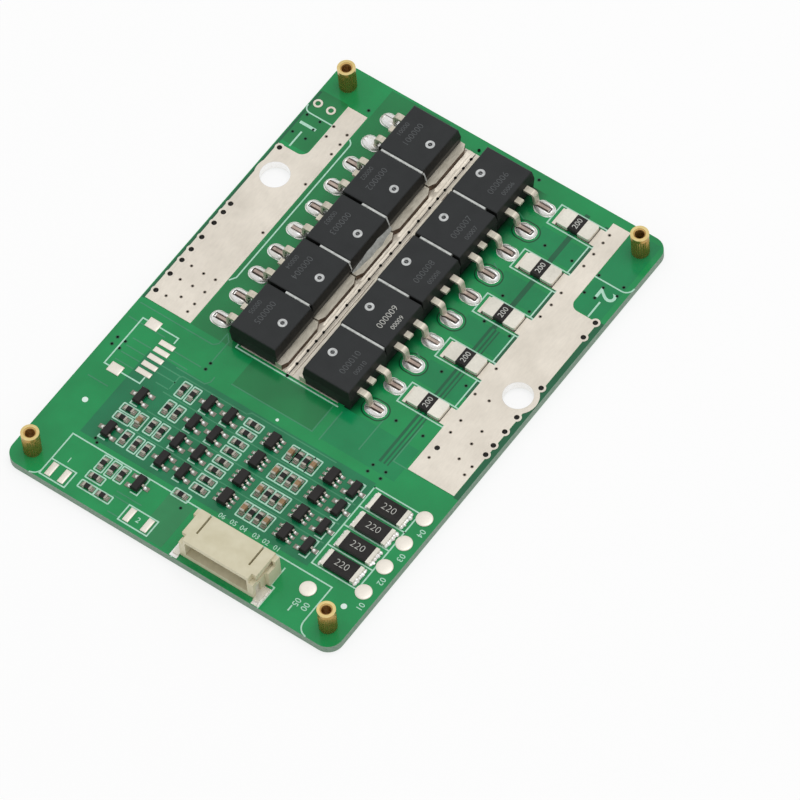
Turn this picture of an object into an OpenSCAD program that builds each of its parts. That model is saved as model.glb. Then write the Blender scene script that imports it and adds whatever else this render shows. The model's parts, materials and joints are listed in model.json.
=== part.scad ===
// Battery management board: a printed circuit board with ten power transistors
// in two rows, current shunts, balancing channels, a right-angle plug socket
// and four tapped brass standoffs.
// +Y runs along the board towards the transistor end, the plug end is at -Y,
// +X runs across to the battery pad, +Z is up, and the origin is the middle
// of the board's underside.

/* [Board] */
// Width of the board across its short side
board_w = 63.5; // [57:0.5:80]
// Length of the board from the plug end to the transistor end
board_l = 90; // [81:0.5:110]
// Thickness of the laminate
board_t = 1.6; // [0.8:0.1:2.4]
// Radius of the board's corners
board_corner_r = 2.6; // [1:0.2:4]
// Height of the tinned copper above the laminate
pad_t = 0.1; // [0.05:0.01:0.2]

/* [Power pads] */
// Distance from the board's left edge to the pack pad
pack_pad_inset = 0.65; // [0.4:0.05:1.2]
// Distance from the board's right edge to the battery pad
battery_pad_inset = 1; // [0.4:0.05:1.2]
// Width of the pack pad's narrow part
pack_neck_w = 3.8; // [3:0.1:4.4]
// Width of the battery pad's narrow part
battery_neck_w = 3.35; // [3:0.05:4]
// Share of the pack pad's length that is narrow
pack_neck_share = 0.25; // [0.15:0.01:0.27]
// Share of the battery pad's length that is narrow
battery_neck_share = 0.303; // [0.25:0.001:0.35]
// Distance from the plug end of the board to the pack pad
pack_pad_start = 36; // [35:0.25:38]
// Distance from the plug end of the board to the battery pad
battery_pad_start = 33.25; // [32:0.25:36]
// Radius of the wire hole in each power pad
lug_hole_r = 2.5; // [1.5:0.05:2.8]
// Width of the copper ring round each wire hole
lug_ring_w = 0.9; // [0.5:0.05:0.9]
// Distance from the board's side to the wire hole's axis
lug_hole_inset = 3.5; // [3.45:0.05:4.5]
// Place of the pack pad's wire hole, as a share of the pad's length from its top
pack_lug_share = 0.362; // [0.3:0.001:0.45]
// Place of the battery pad's wire hole, in the same way
battery_lug_share = 0.628; // [0.55:0.001:0.65]

/* [Plated holes] */
// Wall of the plating through the small holes
plating_t = 0.1; // [0.05:0.01:0.15]
// Radius of the small plated holes along the power pads
plated_hole_r = 0.45; // [0.3:0.01:0.5]
// Width of the copper ring round a small plated hole
plated_ring_w = 0.35; // [0.2:0.01:0.4]

/* [Power transistors] */
// Width of a transistor case across its tab
case_w = 9.9; // [9.5:0.05:10.4]
// Length of a transistor case
case_l = 9.2; // [8.8:0.05:9.4]
// Height of a transistor case above its seat
case_h = 4.55; // [4.2:0.05:4.8]
// Gap between neighbouring cases at their parting line
case_gap = 0.15; // [0.1:0.01:0.3]
// Slope of a case's ends, from the parting line to the top
case_end_slope = 0.35; // [0.2:0.01:0.5]
// Slope of a case's sides, from the parting line to the top
case_side_slope = 0.22; // [0.1:0.01:0.3]
// Bevel along a case's upper edges
case_bevel = 0.12; // [0.05:0.01:0.2]
// Radius of the round mould mark in a case's top
mould_mark_r = 0.78; // [0.5:0.01:1]
// Depth of the mould mark
mould_mark_depth = 0.08; // [0.03:0.01:0.2]
// Thickness of the metal tab
tab_t = 1.27; // [1.1:0.01:1.4]
// Length of tab that shows beyond the case
tab_reach = 1.3; // [1:0.05:1.6]
// Space between the tab ends of the two rows
tab_space = 2.4; // [2:0.1:3]
// Distance between the two outer leads
lead_pitch = 5.08; // [4.9:0.02:5.2]
// Width of a lead where it leaves the case
lead_root_w = 1.1; // [1:0.05:1.4]
// Width of a lead's foot
lead_foot_w = 0.75; // [0.6:0.05:1]
// Thickness of a lead
lead_t = 0.5; // [0.4:0.05:0.6]
// Height of the lead's middle above the seat
lead_plane = 2.65; // [2.4:0.05:2.8]
// Distance from the case to a lead's first bend
lead_out = 1.3; // [1.1:0.05:1.7]
// Radius of a lead's bends, at its middle
lead_bend_r = 0.5; // [0.4:0.05:0.8]
// Slope of a lead between its bends, in degrees
lead_slope = 82; // [74:1:86]
// Length of the cut middle lead
stub_l = 1.1; // [0.8:0.05:1.6]
// Length from the tab's end to the lead tips
reach_l = 14.9; // [14.7:0.05:15.4]
// Distance from the transistor end of the board to the first case
block_inset = 2.95; // [2.5:0.05:3.5]
// Place of the strip between the rows, left of the board's centre line
bus_shift = 3.65; // [3.4:0.05:4]

/* [Solder on the leads] */
// Length of the solder oval round a lead's foot
oval_l = 3.8; // [3.4:0.05:4]
// Width of that oval
oval_w = 2.7; // [2.2:0.05:2.9]

/* [Large resistors] */
// Length of a shunt or balancing resistor
large_l = 6.35; // [6:0.05:6.5]
// Width of a shunt or balancing resistor
large_w = 3.15; // [2.8:0.05:3.3]
// Height of a shunt
shunt_h = 0.75; // [0.5:0.05:1]
// Length of a shunt's terminal
shunt_end_l = 2.2; // [1.8:0.05:2.5]
// Radius of a shunt's outer corners
shunt_corner_r = 0.4; // [0.2:0.05:0.6]
// Height of a balancing resistor
balance_h = 0.6; // [0.45:0.05:0.75]
// Length of a balancing resistor's terminal
balance_end_l = 0.65; // [0.4:0.05:0.9]
// Gap between the lead ovals and the shunts' pads
shunt_pad_gap = 0.55; // [0.3:0.05:0.7]

/* [Channels] */
// Distance between the four balancing channels
channel_pitch = 4.08; // [3.95:0.01:4.2]
// Distance from the plug end to the first channel
channel_start = 25.4; // [25:0.05:26]
// Radius of the round wire pads
wire_pad_r = 1.37; // [1:0.01:1.4]

/* [Small parts] */
// Length of a chip part
chip_l = 1.6; // [1.5:0.02:1.7]
// Width of a chip part
chip_w = 0.8; // [0.7:0.02:0.9]
// Height of a chip resistor
chip_resistor_h = 0.45; // [0.35:0.01:0.6]
// Height of a chip capacitor
chip_capacitor_h = 0.8; // [0.6:0.01:0.95]
// Length of a chip's metal end
chip_end_l = 0.35; // [0.25:0.01:0.45]
// Length of a small transistor or driver case
small_case_l = 2.9; // [2.8:0.02:3]
// Width of a three-lead transistor case
transistor_w = 1.35; // [1.2:0.01:1.45]
// Height of a three-lead transistor case
transistor_h = 1.0; // [0.9:0.01:1.1]
// Width of a six-lead driver case
driver_w = 1.6; // [1.5:0.01:1.7]
// Height of a six-lead driver case
driver_h = 1.1; // [1:0.01:1.25]
// Width over the leads of the small cases
small_span = 2.5; // [2.4:0.02:2.7]
// Thickness of the small leads
small_lead_t = 0.13; // [0.1:0.01:0.16]
// Width of a three-lead transistor's leads
transistor_lead_w = 0.42; // [0.35:0.01:0.5]
// Width of a driver's leads
driver_lead_w = 0.36; // [0.3:0.01:0.45]
// Spacing of the driver's leads, half that of the three-lead transistor
small_lead_pitch = 0.95; // [0.9:0.01:1]

/* [Plug socket] */
// Spacing of the socket's pins
pin_pitch = 2; // [1.9:0.05:2.1]
// Housing beyond the outer pins
socket_side = 2.1; // [2:0.05:2.4]
// Depth of the housing
socket_depth = 6.1; // [5.6:0.05:6.6]
// Height of the housing
socket_h = 5; // [4.6:0.05:5.6]
// Thickness of the roof and floor of the housing
socket_wall = 0.85; // [0.7:0.05:1]
// Thickness of the side walls
socket_side_wall = 1.2; // [1:0.05:1.35]
// Thickness of the back wall
socket_back_wall = 0.9; // [0.7:0.05:1.3]
// Distance from the board's plug end to the socket's mouth
socket_inset = 1.1; // [0.6:0.05:1.3]
// Place of the socket's middle, right of the board's centre line
socket_x = 9.1; // [8.8:0.05:9.6]
// Width of the slits in the roof
slit_w = 0.35; // [0.25:0.05:0.5]
// Length of the slits in the roof
slit_l = 4; // [3:0.1:4.4]
// Side of a socket pin
pin_side = 0.5; // [0.4:0.02:0.6]

/* [Standoffs] */
// Outer diameter of a standoff
standoff_d = 3; // [2.8:0.05:3.4]
// Height of a standoff above the board
standoff_h = 5; // [3:0.25:8]
// Radius of the tapped hole, without its thread
standoff_bore_r = 0.8; // [0.7:0.01:0.9]
// Diameter of the shank that is pressed into the board
shank_d = 2.4; // [2.2:0.05:2.6]
// Distance from the board's side to a standoff's axis
standoff_inset_x = 3.25; // [3:0.05:3.6]
// Distance from the board's end to a standoff's axis
standoff_inset_y = 3.5; // [3.2:0.05:4]
// Number of knurl grooves round a standoff
knurl_count = 24; // [16:1:30]
// Depth of the knurl grooves
knurl_depth = 0.12; // [0.05:0.01:0.15]

/* [Hidden] */
$fn = 48;
cut = 0.01; // overshoot of cutting shapes
rows = 5; // transistors in a row
channels = 4;
pins = 6;

// Where things stand, seen from above
side_x = board_w / 2;
far_y = board_l / 2;
plug_y = -board_l / 2;
seat_z = board_t + pad_t;
row_pitch = case_w + case_gap;
first_row_y = far_y - block_inset - case_w / 2;
function row_y(i) = first_row_y - i * row_pitch;
bus_x = -bus_shift;
left_tab_x = bus_x - tab_space / 2;
right_tab_x = bus_x + tab_space / 2;
// How far each transistor was placed from the nominal place, towards +X
left_offset = [-0.35, -0.1, 0.15, 0.1, 0.3];
right_offset = [-0.25, -0.15, -0.1, 0.1, 0.3];

// Solder ovals, their middles at a fixed place on the board
oval_inner = 11.9; // from a nominal tab end to the oval's inner end
left_oval_x = left_tab_x - oval_inner - oval_l / 2;
right_oval_x = right_tab_x + oval_inner + oval_l / 2;

// Power pads
pack_edge_gap = 1.65; // between the left ovals and the pack pad
pack_inner_x = left_oval_x - oval_l / 2 - pack_edge_gap;
pack_outer_x = -side_x + pack_pad_inset;
shunt_pad_over = 0.7; // pad beyond a shunt's terminal
shunt_pad_x0 = right_oval_x + oval_l / 2 + shunt_pad_gap;
shunt_x = shunt_pad_x0 + shunt_pad_over + large_l / 2;
battery_gap = 1.1; // between a shunt and the battery pad
battery_inner_x = shunt_x + large_l / 2 + battery_gap;
battery_outer_x = side_x - battery_pad_inset;
pack_top_y = far_y - 6.85;
battery_top_y = far_y - 1.6;
pack_pad_l = pack_top_y - plug_y - pack_pad_start;
battery_pad_l = battery_top_y - plug_y - battery_pad_start;
pack_neck_l = pack_neck_share * pack_pad_l;
battery_neck_l = battery_neck_share * battery_pad_l;
neck_fillet = 1.5;
pack_lug = [-side_x + lug_hole_inset + 0.3, pack_top_y - pack_lug_share * pack_pad_l];
battery_lug = [side_x - lug_hole_inset,
  battery_top_y - battery_lug_share * battery_pad_l];
lug_ring_r = lug_hole_r + lug_ring_w;

// Small plated holes along each pad's outer edge: shares of the pad's length
pack_hole_share = [0.264, 0.54, 0.581, 0.633, 0.702, 0.761, 0.813, 0.879, 0.958];
battery_hole_share = [0.306, 0.365, 0.571, 0.689, 0.747, 0.802, 0.839];
pack_hole_x = pack_outer_x + 0.65;
battery_hole_x = battery_outer_x - 0.35;
extra_battery_hole = [battery_inner_x + 1.5, battery_top_y - 0.897 * battery_pad_l];
spare_ring_x = [-side_x + 1.35, -side_x + 3.9];
spare_ring_y = far_y - 9;
plated_ring_r = plated_hole_r + plated_ring_w;

// Shunts, each level with the upper side of its transistor
shunt_rise = 2.65;
function shunt_y(i) = row_y(i) + shunt_rise;

// Channels and the columns in them
function channel_y(k) = plug_y + channel_start - k * channel_pitch;
balance_x = side_x - 7.67;
wire_pad_x = side_x - 2.34;
wire_pad_y = [27.34, 22.02, 16.91, 11.46];
spare_wire_pad = [side_x - 9.76, 7.14];
column_left = -side_x + 16.1;
column_right = balance_x - 6.58;
// Places between the left and the right column, from 0 to 1
function column_x(share) = column_left + share * (column_right - column_left);
column_resistors = [0, 0.056];
column_transistors = [0.154, 0.276];
column_right_transistor = 1;
column_stack = 0.3945;
stack_rise = [0.93, -1.03];
column_drivers = [0.5258, 0.8703];
group_capacitors = [0.6335, 0.7617];
group_resistors = [0.6763, 0.7189];

// Further small parts: [distance from the left side, from the plug end,
// turned across X]
extra_resistors = [
  [11.4, 17.75, true], [11.4, 15.95, true], [14.5, 4.85, true],
  [14.5, 2.8, true], [17.45, 2.8, true], [27.45, 9.75, true],
  [13.95, 13.2, false], [13.95, 7.55, false], [15.85, 7.55, false],
  [17.65, 7.55, false]];
extra_capacitors = [[13.95, 16.9, false]];
// Further transistors: [the same two distances, side of the lone lead]
extra_transistors = [[11.45, 20.65, -1], [11, 12.95, -1], [20.9, 7.6, 1]];

// Empty footprints, by the same two distances
spare_socket_x = -side_x + 9.05;
spare_socket_pads = [30.6, 29.1, 27.6, 26.05, 24.55];
spare_socket_ears = [32.6, 22.65];
two_pad_places = [[7.9, 2.3], [10.4, 2.3], [23, 2.4], [26.45, 2.4]];

// Socket
socket_w = (pins - 1) * pin_pitch + 2 * socket_side;
socket_front_y = plug_y + socket_inset;
socket_back_y = socket_front_y + socket_depth;
socket_notch = [0.85, 1.1, 1.4];
socket_rail_l = 3;
socket_rail_h = 3.5;
socket_rail_t = 0.7;
socket_post_l = 1.2;
socket_post_h = 4.6;
tab_slot = [0.6, 1.3, 2.6];
nail_t = 0.3;
pin_z = 2.35;
pin_tail_l = 1.5;
pin_tail_t = 0.25;
function pin_x(i) = socket_x + (i - (pins - 1) / 2) * pin_pitch;

// Standoff places
standoff_x = side_x - standoff_inset_x;
standoff_y = far_y - standoff_inset_y;
standoff_places = [
  [-standoff_x, standoff_y], [standoff_x, standoff_y],
  [-standoff_x, -standoff_y], [standoff_x, -standoff_y]];

// ---- Shapes used by several parts ----

// A rectangle with its lower left corner at a and upper right corner at b
module span(a, b) {
  translate(a) square(b - a);
}

// A block from corner a to corner b
module block(a, b) {
  translate(a) cube(b - a);
}

module rounded_rect(size, r) {
  x = size[0] / 2 - r;
  y = size[1] / 2 - r;
  square([size[0], 2 * y], center = true);
  square([2 * x, size[1]], center = true);
  for (sx = [-1, 1], sy = [-1, 1])
    translate([sx * x, sy * y]) circle(r);
}

// A moulded case, seen along Y: ends that slope both ways from the parting line
module case_side(l, h, base, part, slope, bevel) {
  polygon([
    [slope * 0.7, base], [0, part], [slope - bevel * 0.3, h - bevel],
    [slope + bevel, h], [l - slope - bevel, h],
    [l - slope + bevel * 0.3, h - bevel], [l, part], [l - slope * 0.7, base]]);
}

// A moulded case from x = 0 to l, centred in y, with draft on its four sides
module moulded_case(l, w, h, base, part, end_slope, side_slope, bevel) {
  intersection() {
    translate([0, w, 0]) rotate([90, 0, 0]) linear_extrude(2 * w)
      case_side(l, h, base, part, end_slope, bevel);
    translate([-l, 0, 0]) rotate([90, 0, 90]) linear_extrude(3 * l)
      translate([-w / 2, 0]) case_side(w, h, base, part, side_slope, bevel);
  }
}

// Points of a bent strip's edge: two arcs, first down by angle a, then level.
// Radii r1 and r2 belong to this edge, c1 and c2 are the arcs' middles.
function bend_points(c1, c2, r1, r2, a, n = 5) = concat(
  [for (i = [0:n]) c1 + r1 * [sin(a * i / n), cos(a * i / n)]],
  [for (i = [0:n]) c2 - r2 * [sin(a - a * i / n), cos(a - a * i / n)]]);
function reversed(v) = [for (i = [len(v) - 1:-1:0]) v[i]];

// Side view of a gull-wing lead: root at x0, height z0, bend from x1, tip at x2
module gull_side(x0, x1, x2, z0, t, r, a) {
  drop = z0 - t / 2;
  straight = (drop - 2 * r * (1 - cos(a))) / sin(a);
  run = 2 * r * sin(a) + straight * cos(a);
  c1 = [x1, z0 - r];
  c2 = [x1 + run, t / 2 + r];
  polygon(concat(
    [[x0, z0 + t / 2]],
    bend_points(c1, c2, r + t / 2, r - t / 2, a),
    [[x2, t], [x2, 0]],
    reversed(bend_points(c1, c2, r - t / 2, r + t / 2, a)),
    [[x0, z0 - t / 2]]));
}

// The same lead with its width, centred in y
module gull_lead(x0, x1, x2, z0, t, r, a, w) {
  translate([0, w / 2, 0]) rotate([90, 0, 0]) linear_extrude(w)
    gull_side(x0, x1, x2, z0, t, r, a);
}

// ---- Board and copper ----

module ring_hole_places() {
  for (d = pack_hole_share)
    translate([pack_hole_x, pack_top_y - d * pack_pad_l]) children();
  for (d = battery_hole_share)
    translate([battery_hole_x, battery_top_y - d * battery_pad_l]) children();
  for (x = spare_ring_x) translate([x, spare_ring_y]) children();
  translate(extra_battery_hole) children();
}

module circuit_board() color([0.12, 0.45, 0.27]) difference() {
  linear_extrude(board_t) rounded_rect([board_w, board_l], board_corner_r);
  for (p = [pack_lug, battery_lug])
    translate([p[0], p[1], -1]) cylinder(r = lug_hole_r, h = board_t + 2, $fn = 96);
  for (p = standoff_places)
    translate([p[0], p[1], -1]) cylinder(d = shank_d, h = board_t + 2);
  translate([0, 0, -1]) linear_extrude(board_t + 2)
    ring_hole_places() circle(plated_hole_r + plating_t, $fn = 24);
}

// Outline of a power pad: inner edge on x = 0, the pad to +x, its top at y = 0
module power_pad_outline(w, neck_w, l, neck_l, lug) {
  difference() {
    union() {
      span([0, -l], [w, -neck_l]);
      span([0, -neck_l - cut], [neck_w + neck_fillet, 0]);
      translate(lug) circle(lug_ring_r, $fn = 96);
    }
    translate([neck_w + neck_fillet, -neck_l + neck_fillet]) circle(neck_fillet);
    span([neck_w, -neck_l + neck_fillet], [neck_w + 2 * neck_fillet, 1]);
    span([neck_w + neck_fillet, -neck_l], [neck_w + 2 * neck_fillet, 1]);
  }
}

module lug_bore(p) {
  translate([p[0], p[1], -1]) cylinder(r = lug_hole_r, h = seat_z + 2, $fn = 96);
}

// Room for the plated rings that sit in a power pad's outer edge
module ring_room() {
  translate([0, 0, board_t - 1]) linear_extrude(2)
    ring_hole_places() circle(plated_ring_r, $fn = 32);
}

module pack_pad() color([0.83, 0.81, 0.77]) difference() {
  translate([pack_inner_x, pack_top_y, board_t]) linear_extrude(pad_t)
    mirror([1, 0]) power_pad_outline(pack_inner_x - pack_outer_x, pack_neck_w,
      pack_pad_l, pack_neck_l,
      [pack_inner_x - pack_lug[0], pack_lug[1] - pack_top_y]);
  lug_bore(pack_lug);
  ring_room();
}

module battery_pad() color([0.83, 0.81, 0.77]) difference() {
  translate([battery_inner_x, battery_top_y, board_t]) linear_extrude(pad_t)
    power_pad_outline(battery_outer_x - battery_inner_x, battery_neck_w,
      battery_pad_l, battery_neck_l,
      [battery_lug[0] - battery_inner_x, battery_lug[1] - battery_top_y]);
  lug_bore(battery_lug);
  ring_room();
}

// Rings and barrels of the small plated holes
module plated_rings() color([0.72, 0.72, 0.66]) difference() {
  union() {
    translate([0, 0, board_t]) linear_extrude(pad_t)
      ring_hole_places() circle(plated_ring_r - 0.002, $fn = 32);
    linear_extrude(seat_z)
      ring_hole_places() circle(plated_hole_r + plating_t, $fn = 24);
  }
  translate([0, 0, -1]) linear_extrude(seat_z + 2)
    ring_hole_places() circle(plated_hole_r, $fn = 24);
}

module wire_pads() color([0.88, 0.85, 0.82])
  translate([0, 0, board_t]) linear_extrude(pad_t) {
    for (y = wire_pad_y) translate([wire_pad_x, plug_y + y]) circle(wire_pad_r);
    translate([spare_wire_pad[0], plug_y + spare_wire_pad[1]]) circle(wire_pad_r);
  }

// One tinned area under the tabs of both rows
module drain_pad() color([0.8, 0.78, 0.73]) {
  pad_end = 8.2; // how far the copper runs in under the cases
  block([left_tab_x - pad_end, row_y(rows - 1) - case_w / 2, board_t],
    [right_tab_x + pad_end, row_y(0) + case_w / 2, seat_z]);
}

module oval_places() {
  for (i = [0:rows - 1], s = [-1, 1]) {
    translate([left_oval_x, row_y(i) + s * lead_pitch / 2, 0]) children();
    translate([right_oval_x, row_y(i) + s * lead_pitch / 2, 0]) children();
  }
}

module lead_solder() color([0.85, 0.83, 0.78])
  translate([0, 0, board_t]) linear_extrude(pad_t)
    oval_places() rounded_rect([oval_l, oval_w], oval_w / 2 - cut);

module shunt_pads() color([0.83, 0.81, 0.77]) {
  half = large_w / 2 + 0.1;
  inner = shunt_end_l - 0.1; // pad's reach under each terminal
  for (i = [0:rows - 1]) {
    block([shunt_pad_x0, shunt_y(i) - half, board_t],
      [shunt_x - large_l / 2 + inner, shunt_y(i) + half, seat_z]);
    block([shunt_x + large_l / 2 - inner, shunt_y(i) - half, board_t],
      [battery_inner_x, shunt_y(i) + half, seat_z]);
  }
}

// A rectangular pad, its middle at p and its sides in s
module pad(p, s) {
  translate([p[0] - s[0] / 2, p[1] - s[1] / 2, board_t]) cube([s[0], s[1], pad_t]);
}

module spare_pads() color([0.9, 0.88, 0.86]) {
  for (y = spare_socket_pads) pad([spare_socket_x, plug_y + y], [2.75, 0.95]);
  for (y = spare_socket_ears) pad([spare_socket_x - 4.15, plug_y + y], [2.3, 1.85]);
  for (p = two_pad_places) pad([p[0] - side_x, plug_y + p[1]], [1.1, 2.6]);
}

// ---- Power transistors, in their own frame ----
// The tab's end is on x = 0, the leads point to +x, the seat is on z = 0.

case_x0 = tab_reach;
case_x1 = tab_reach + case_l;
lead_root_x = case_x1 - 0.7;
lead_bend_x = case_x1 + lead_out;
lead_narrow = [0.7, 1.15]; // where the width shrinks, from the first bend
slug_l = case_l * 0.8;

module tab_outline() {
  end_l = 0.55; // length of the slanted corners
  end_w = 1.1;
  half = case_w / 2 - 0.06;
  polygon([
    [0, -half + end_w], [end_l, -half], [case_x0 + 0.4, -half],
    [case_x0 + 0.4, -half + 0.9], [case_x0 + slug_l, -half + 0.9],
    [case_x0 + slug_l, half - 0.9], [case_x0 + 0.4, half - 0.9],
    [case_x0 + 0.4, half], [end_l, half], [0, half - end_w]]);
}

// A lead, broad at its root and narrower above its foot
module power_lead() {
  x1 = lead_bend_x + lead_narrow[0];
  x2 = lead_bend_x + lead_narrow[1];
  intersection() {
    gull_lead(lead_root_x, lead_bend_x, reach_l, lead_plane, lead_t, lead_bend_r,
      lead_slope, lead_root_w);
    translate([0, 0, -1]) linear_extrude(lead_plane + 3) polygon([
      [lead_root_x - 1, -lead_root_w], [x1, -lead_root_w],
      [x1, -lead_root_w / 2], [x2, -lead_foot_w / 2],
      [reach_l + 1, -lead_foot_w / 2], [reach_l + 1, lead_foot_w / 2],
      [x2, lead_foot_w / 2], [x1, lead_root_w / 2],
      [x1, lead_root_w], [lead_root_x - 1, lead_root_w]]);
  }
}

module lead_stub() {
  block([lead_root_x, -lead_root_w / 2, lead_plane - lead_t / 2],
    [case_x1 + stub_l, lead_root_w / 2, lead_plane + lead_t / 2]);
}

module mosfet_frame() color([0.78, 0.76, 0.71]) {
  linear_extrude(tab_t) tab_outline();
  lead_stub();
  for (s = [-1, 1]) translate([0, s * lead_pitch / 2, 0]) power_lead();
}

// Pockets that the metal fills inside the case
module frame_room() {
  translate([0, 0, -1]) linear_extrude(tab_t + 1) tab_outline();
  for (y = [-lead_pitch / 2, 0, lead_pitch / 2])
    block([lead_root_x, y - lead_root_w / 2, lead_plane - lead_t / 2],
      [case_x1 + 1, y + lead_root_w / 2, lead_plane + lead_t / 2]);
}

module mosfet_case() color([0.19, 0.19, 0.2]) {
  mark_x = case_x0 + 2.35;
  difference() {
    translate([case_x0, 0, 0]) moulded_case(case_l, case_w, case_h, 0.05,
      lead_plane, case_end_slope, case_side_slope, case_bevel);
    frame_room();
    translate([mark_x, 0, case_h - mould_mark_depth])
      cylinder(r = mould_mark_r, h = 1);
  }
}

module in_left_row(i) {
  translate([left_tab_x + left_offset[i], row_y(i), seat_z]) mirror([1, 0, 0]) children();
}

module in_right_row(i) {
  translate([right_tab_x + right_offset[i], row_y(i), seat_z]) children();
}

// Sealing compound in the groove between two neighbouring cases, from x0 to x1
module sealant_strip(x0, x1) {
  slack = 0.01;
  depth = 0.9;
  top = 0.1; // below the top of the cases
  shoulder = 0.22; // where the strip starts to round off
  rise = (case_side_slope - 0.3 * case_bevel) / (case_h - case_bevel - lead_plane);
  high = case_gap / 2 + rise * (case_h - shoulder - lead_plane) - slack;
  low = case_gap / 2 + rise * (case_h - depth - lead_plane) - slack;
  translate([x0, 0, case_h]) rotate([90, 0, 90]) linear_extrude(x1 - x0)
    polygon([[-low, -depth], [-high, -shoulder], [-high * 0.7, -top],
      [high * 0.7, -top], [high, -shoulder], [low, -depth]]);
}

// Where each strip starts and ends, from the nominal tab end towards the leads
left_strips = [[1.9, 9.9], [1.7, 6.3], [1.4, 7.1], [1.9, 6.4]];
right_strips = [[1.75, 7.9], [2.6, 8.6], [1.75, 7.6], [2.0, 10.1]];

module gap_sealant() color([0.86, 0.86, 0.84]) {
  for (i = [0:rows - 2]) {
    y = row_y(i) - row_pitch / 2;
    translate([left_tab_x, y, seat_z]) mirror([1, 0, 0])
      sealant_strip(left_strips[i][0], left_strips[i][1]);
    translate([right_tab_x, y, seat_z])
      sealant_strip(right_strips[i][0], right_strips[i][1]);
  }
}

// ---- Large resistors ----

module shunt_resistor(i) color([0.13, 0.12, 0.12]) {
  half = large_l / 2 - shunt_end_l;
  lift = 0.08; // the coating stands proud of the metal
  translate([shunt_x, shunt_y(i), seat_z]) {
    block([-half, -large_w / 2 + 0.05, 0.02], [half, large_w / 2 - 0.05, shunt_h]);
    translate([0, 0, shunt_h]) linear_extrude(lift)
      rounded_rect([2 * half - 0.1, large_w - 0.2], 0.2);
  }
}

module shunt_end() {
  r = shunt_corner_r;
  linear_extrude(shunt_h) union() {
    span([r, -large_w / 2], [shunt_end_l, large_w / 2]);
    span([0, -large_w / 2 + r], [r + cut, large_w / 2 - r]);
    for (s = [-1, 1]) translate([r, s * (large_w / 2 - r)]) circle(r);
  }
}

module shunt_terminals() color([0.86, 0.84, 0.78])
  for (i = [0:rows - 1]) translate([shunt_x, shunt_y(i), seat_z]) {
    translate([-large_l / 2, 0, 0]) shunt_end();
    mirror([1, 0, 0]) translate([-large_l / 2, 0, 0]) shunt_end();
  }

// Ceramic body with a slightly raised resistive film on top
module balance_resistor(k) color([0.16, 0.14, 0.13]) {
  half = large_l / 2 - balance_end_l;
  translate([balance_x, channel_y(k), seat_z]) {
    block([-half, -large_w / 2, 0], [half, large_w / 2, balance_h]);
    block([-half + 0.1, -large_w / 2 + 0.12, balance_h],
      [half - 0.1, large_w / 2 - 0.12, balance_h + 0.04]);
  }
}

module balance_terminals() color([0.84, 0.82, 0.78])
  for (k = [0:channels - 1], s = [-1, 1])
    translate([balance_x + s * (large_l - balance_end_l) / 2, channel_y(k),
      seat_z + balance_h / 2])
      cube([balance_end_l, large_w, balance_h], center = true);

// ---- Small parts ----

module place(x, y, across) {
  translate([x, y, 0]) rotate([0, 0, across ? 0 : 90]) children();
}

module resistor_places() {
  for (k = [0:channels - 1]) {
    for (x = concat(column_resistors, group_resistors))
      place(column_x(x), channel_y(k), false) children();
    for (d = stack_rise)
      place(column_x(column_stack), channel_y(k) + d, true) children();
  }
  for (e = extra_resistors) place(e[0] - side_x, plug_y + e[1], e[2]) children();
}

module capacitor_places() {
  for (k = [0:channels - 1], x = group_capacitors)
    place(column_x(x), channel_y(k), false) children();
  for (e = extra_capacitors) place(e[0] - side_x, plug_y + e[1], e[2]) children();
}

module chip_body(h) {
  l = chip_l - 2 * chip_end_l;
  translate([-l / 2, -chip_w / 2, seat_z]) cube([l, chip_w, h]);
}

module chip_ends(h) {
  for (s = [-1, 1])
    translate([s * (chip_l - chip_end_l) / 2, 0, seat_z + h / 2])
      cube([chip_end_l, chip_w, h], center = true);
}

module chip_pad_pair() {
  for (s = [-1, 1]) pad([s * (chip_l / 2 + 0.05), 0], [0.75, chip_w + 0.1]);
}

module chip_resistors() color([0.17, 0.16, 0.16])
  resistor_places() chip_body(chip_resistor_h);

module chip_capacitors() color([0.62, 0.52, 0.4])
  capacitor_places() chip_body(chip_capacitor_h);

module chip_terminals() color([0.82, 0.8, 0.78]) {
  resistor_places() chip_ends(chip_resistor_h);
  capacitor_places() chip_ends(chip_capacitor_h);
}

module chip_pads() color([0.8, 0.8, 0.76]) {
  resistor_places() chip_pad_pair();
  capacitor_places() chip_pad_pair();
  for (k = [0:channels - 1]) {
    x = large_l / 2 - balance_end_l;
    pad([balance_x - x - balance_end_l / 2 - 0.15, channel_y(k)],
      [balance_end_l + 0.5, large_w]);
    pad([balance_x + x + balance_end_l / 2 + 0.1, channel_y(k)],
      [balance_end_l + 0.4, large_w]);
  }
}

// A transistor's own frame: its lone lead points to -x
module transistor_places() {
  for (k = [0:channels - 1]) {
    for (x = column_transistors) translate([column_x(x), channel_y(k), 0]) children();
    translate([column_x(column_right_transistor), channel_y(k), 0])
      mirror([1, 0, 0]) children();
  }
  for (e = extra_transistors) translate([e[0] - side_x, plug_y + e[1], 0])
    mirror([e[2] > 0 ? 1 : 0, 0, 0]) children();
}

module driver_places() {
  for (k = [0:channels - 1], x = column_drivers)
    translate([column_x(x), channel_y(k), 0]) children();
}

// One small lead towards +x, and the pocket it leaves in its case
module small_lead(case_half, h, w) {
  gull_lead(case_half - 0.25, case_half + 0.12, small_span / 2, h / 2,
    small_lead_t, 0.12, 80, w);
}

module small_lead_room(case_half, h, w) {
  block([case_half - 0.25, -w / 2, h / 2 - small_lead_t / 2],
    [case_half + 1, w / 2, h / 2 + small_lead_t / 2]);
}

// Leads of a three-lead case: one to -x, two to +x
module transistor_leads_at() {
  mirror([1, 0, 0]) children();
  for (s = [-1, 1]) translate([0, s * small_lead_pitch, 0]) children();
}

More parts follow.
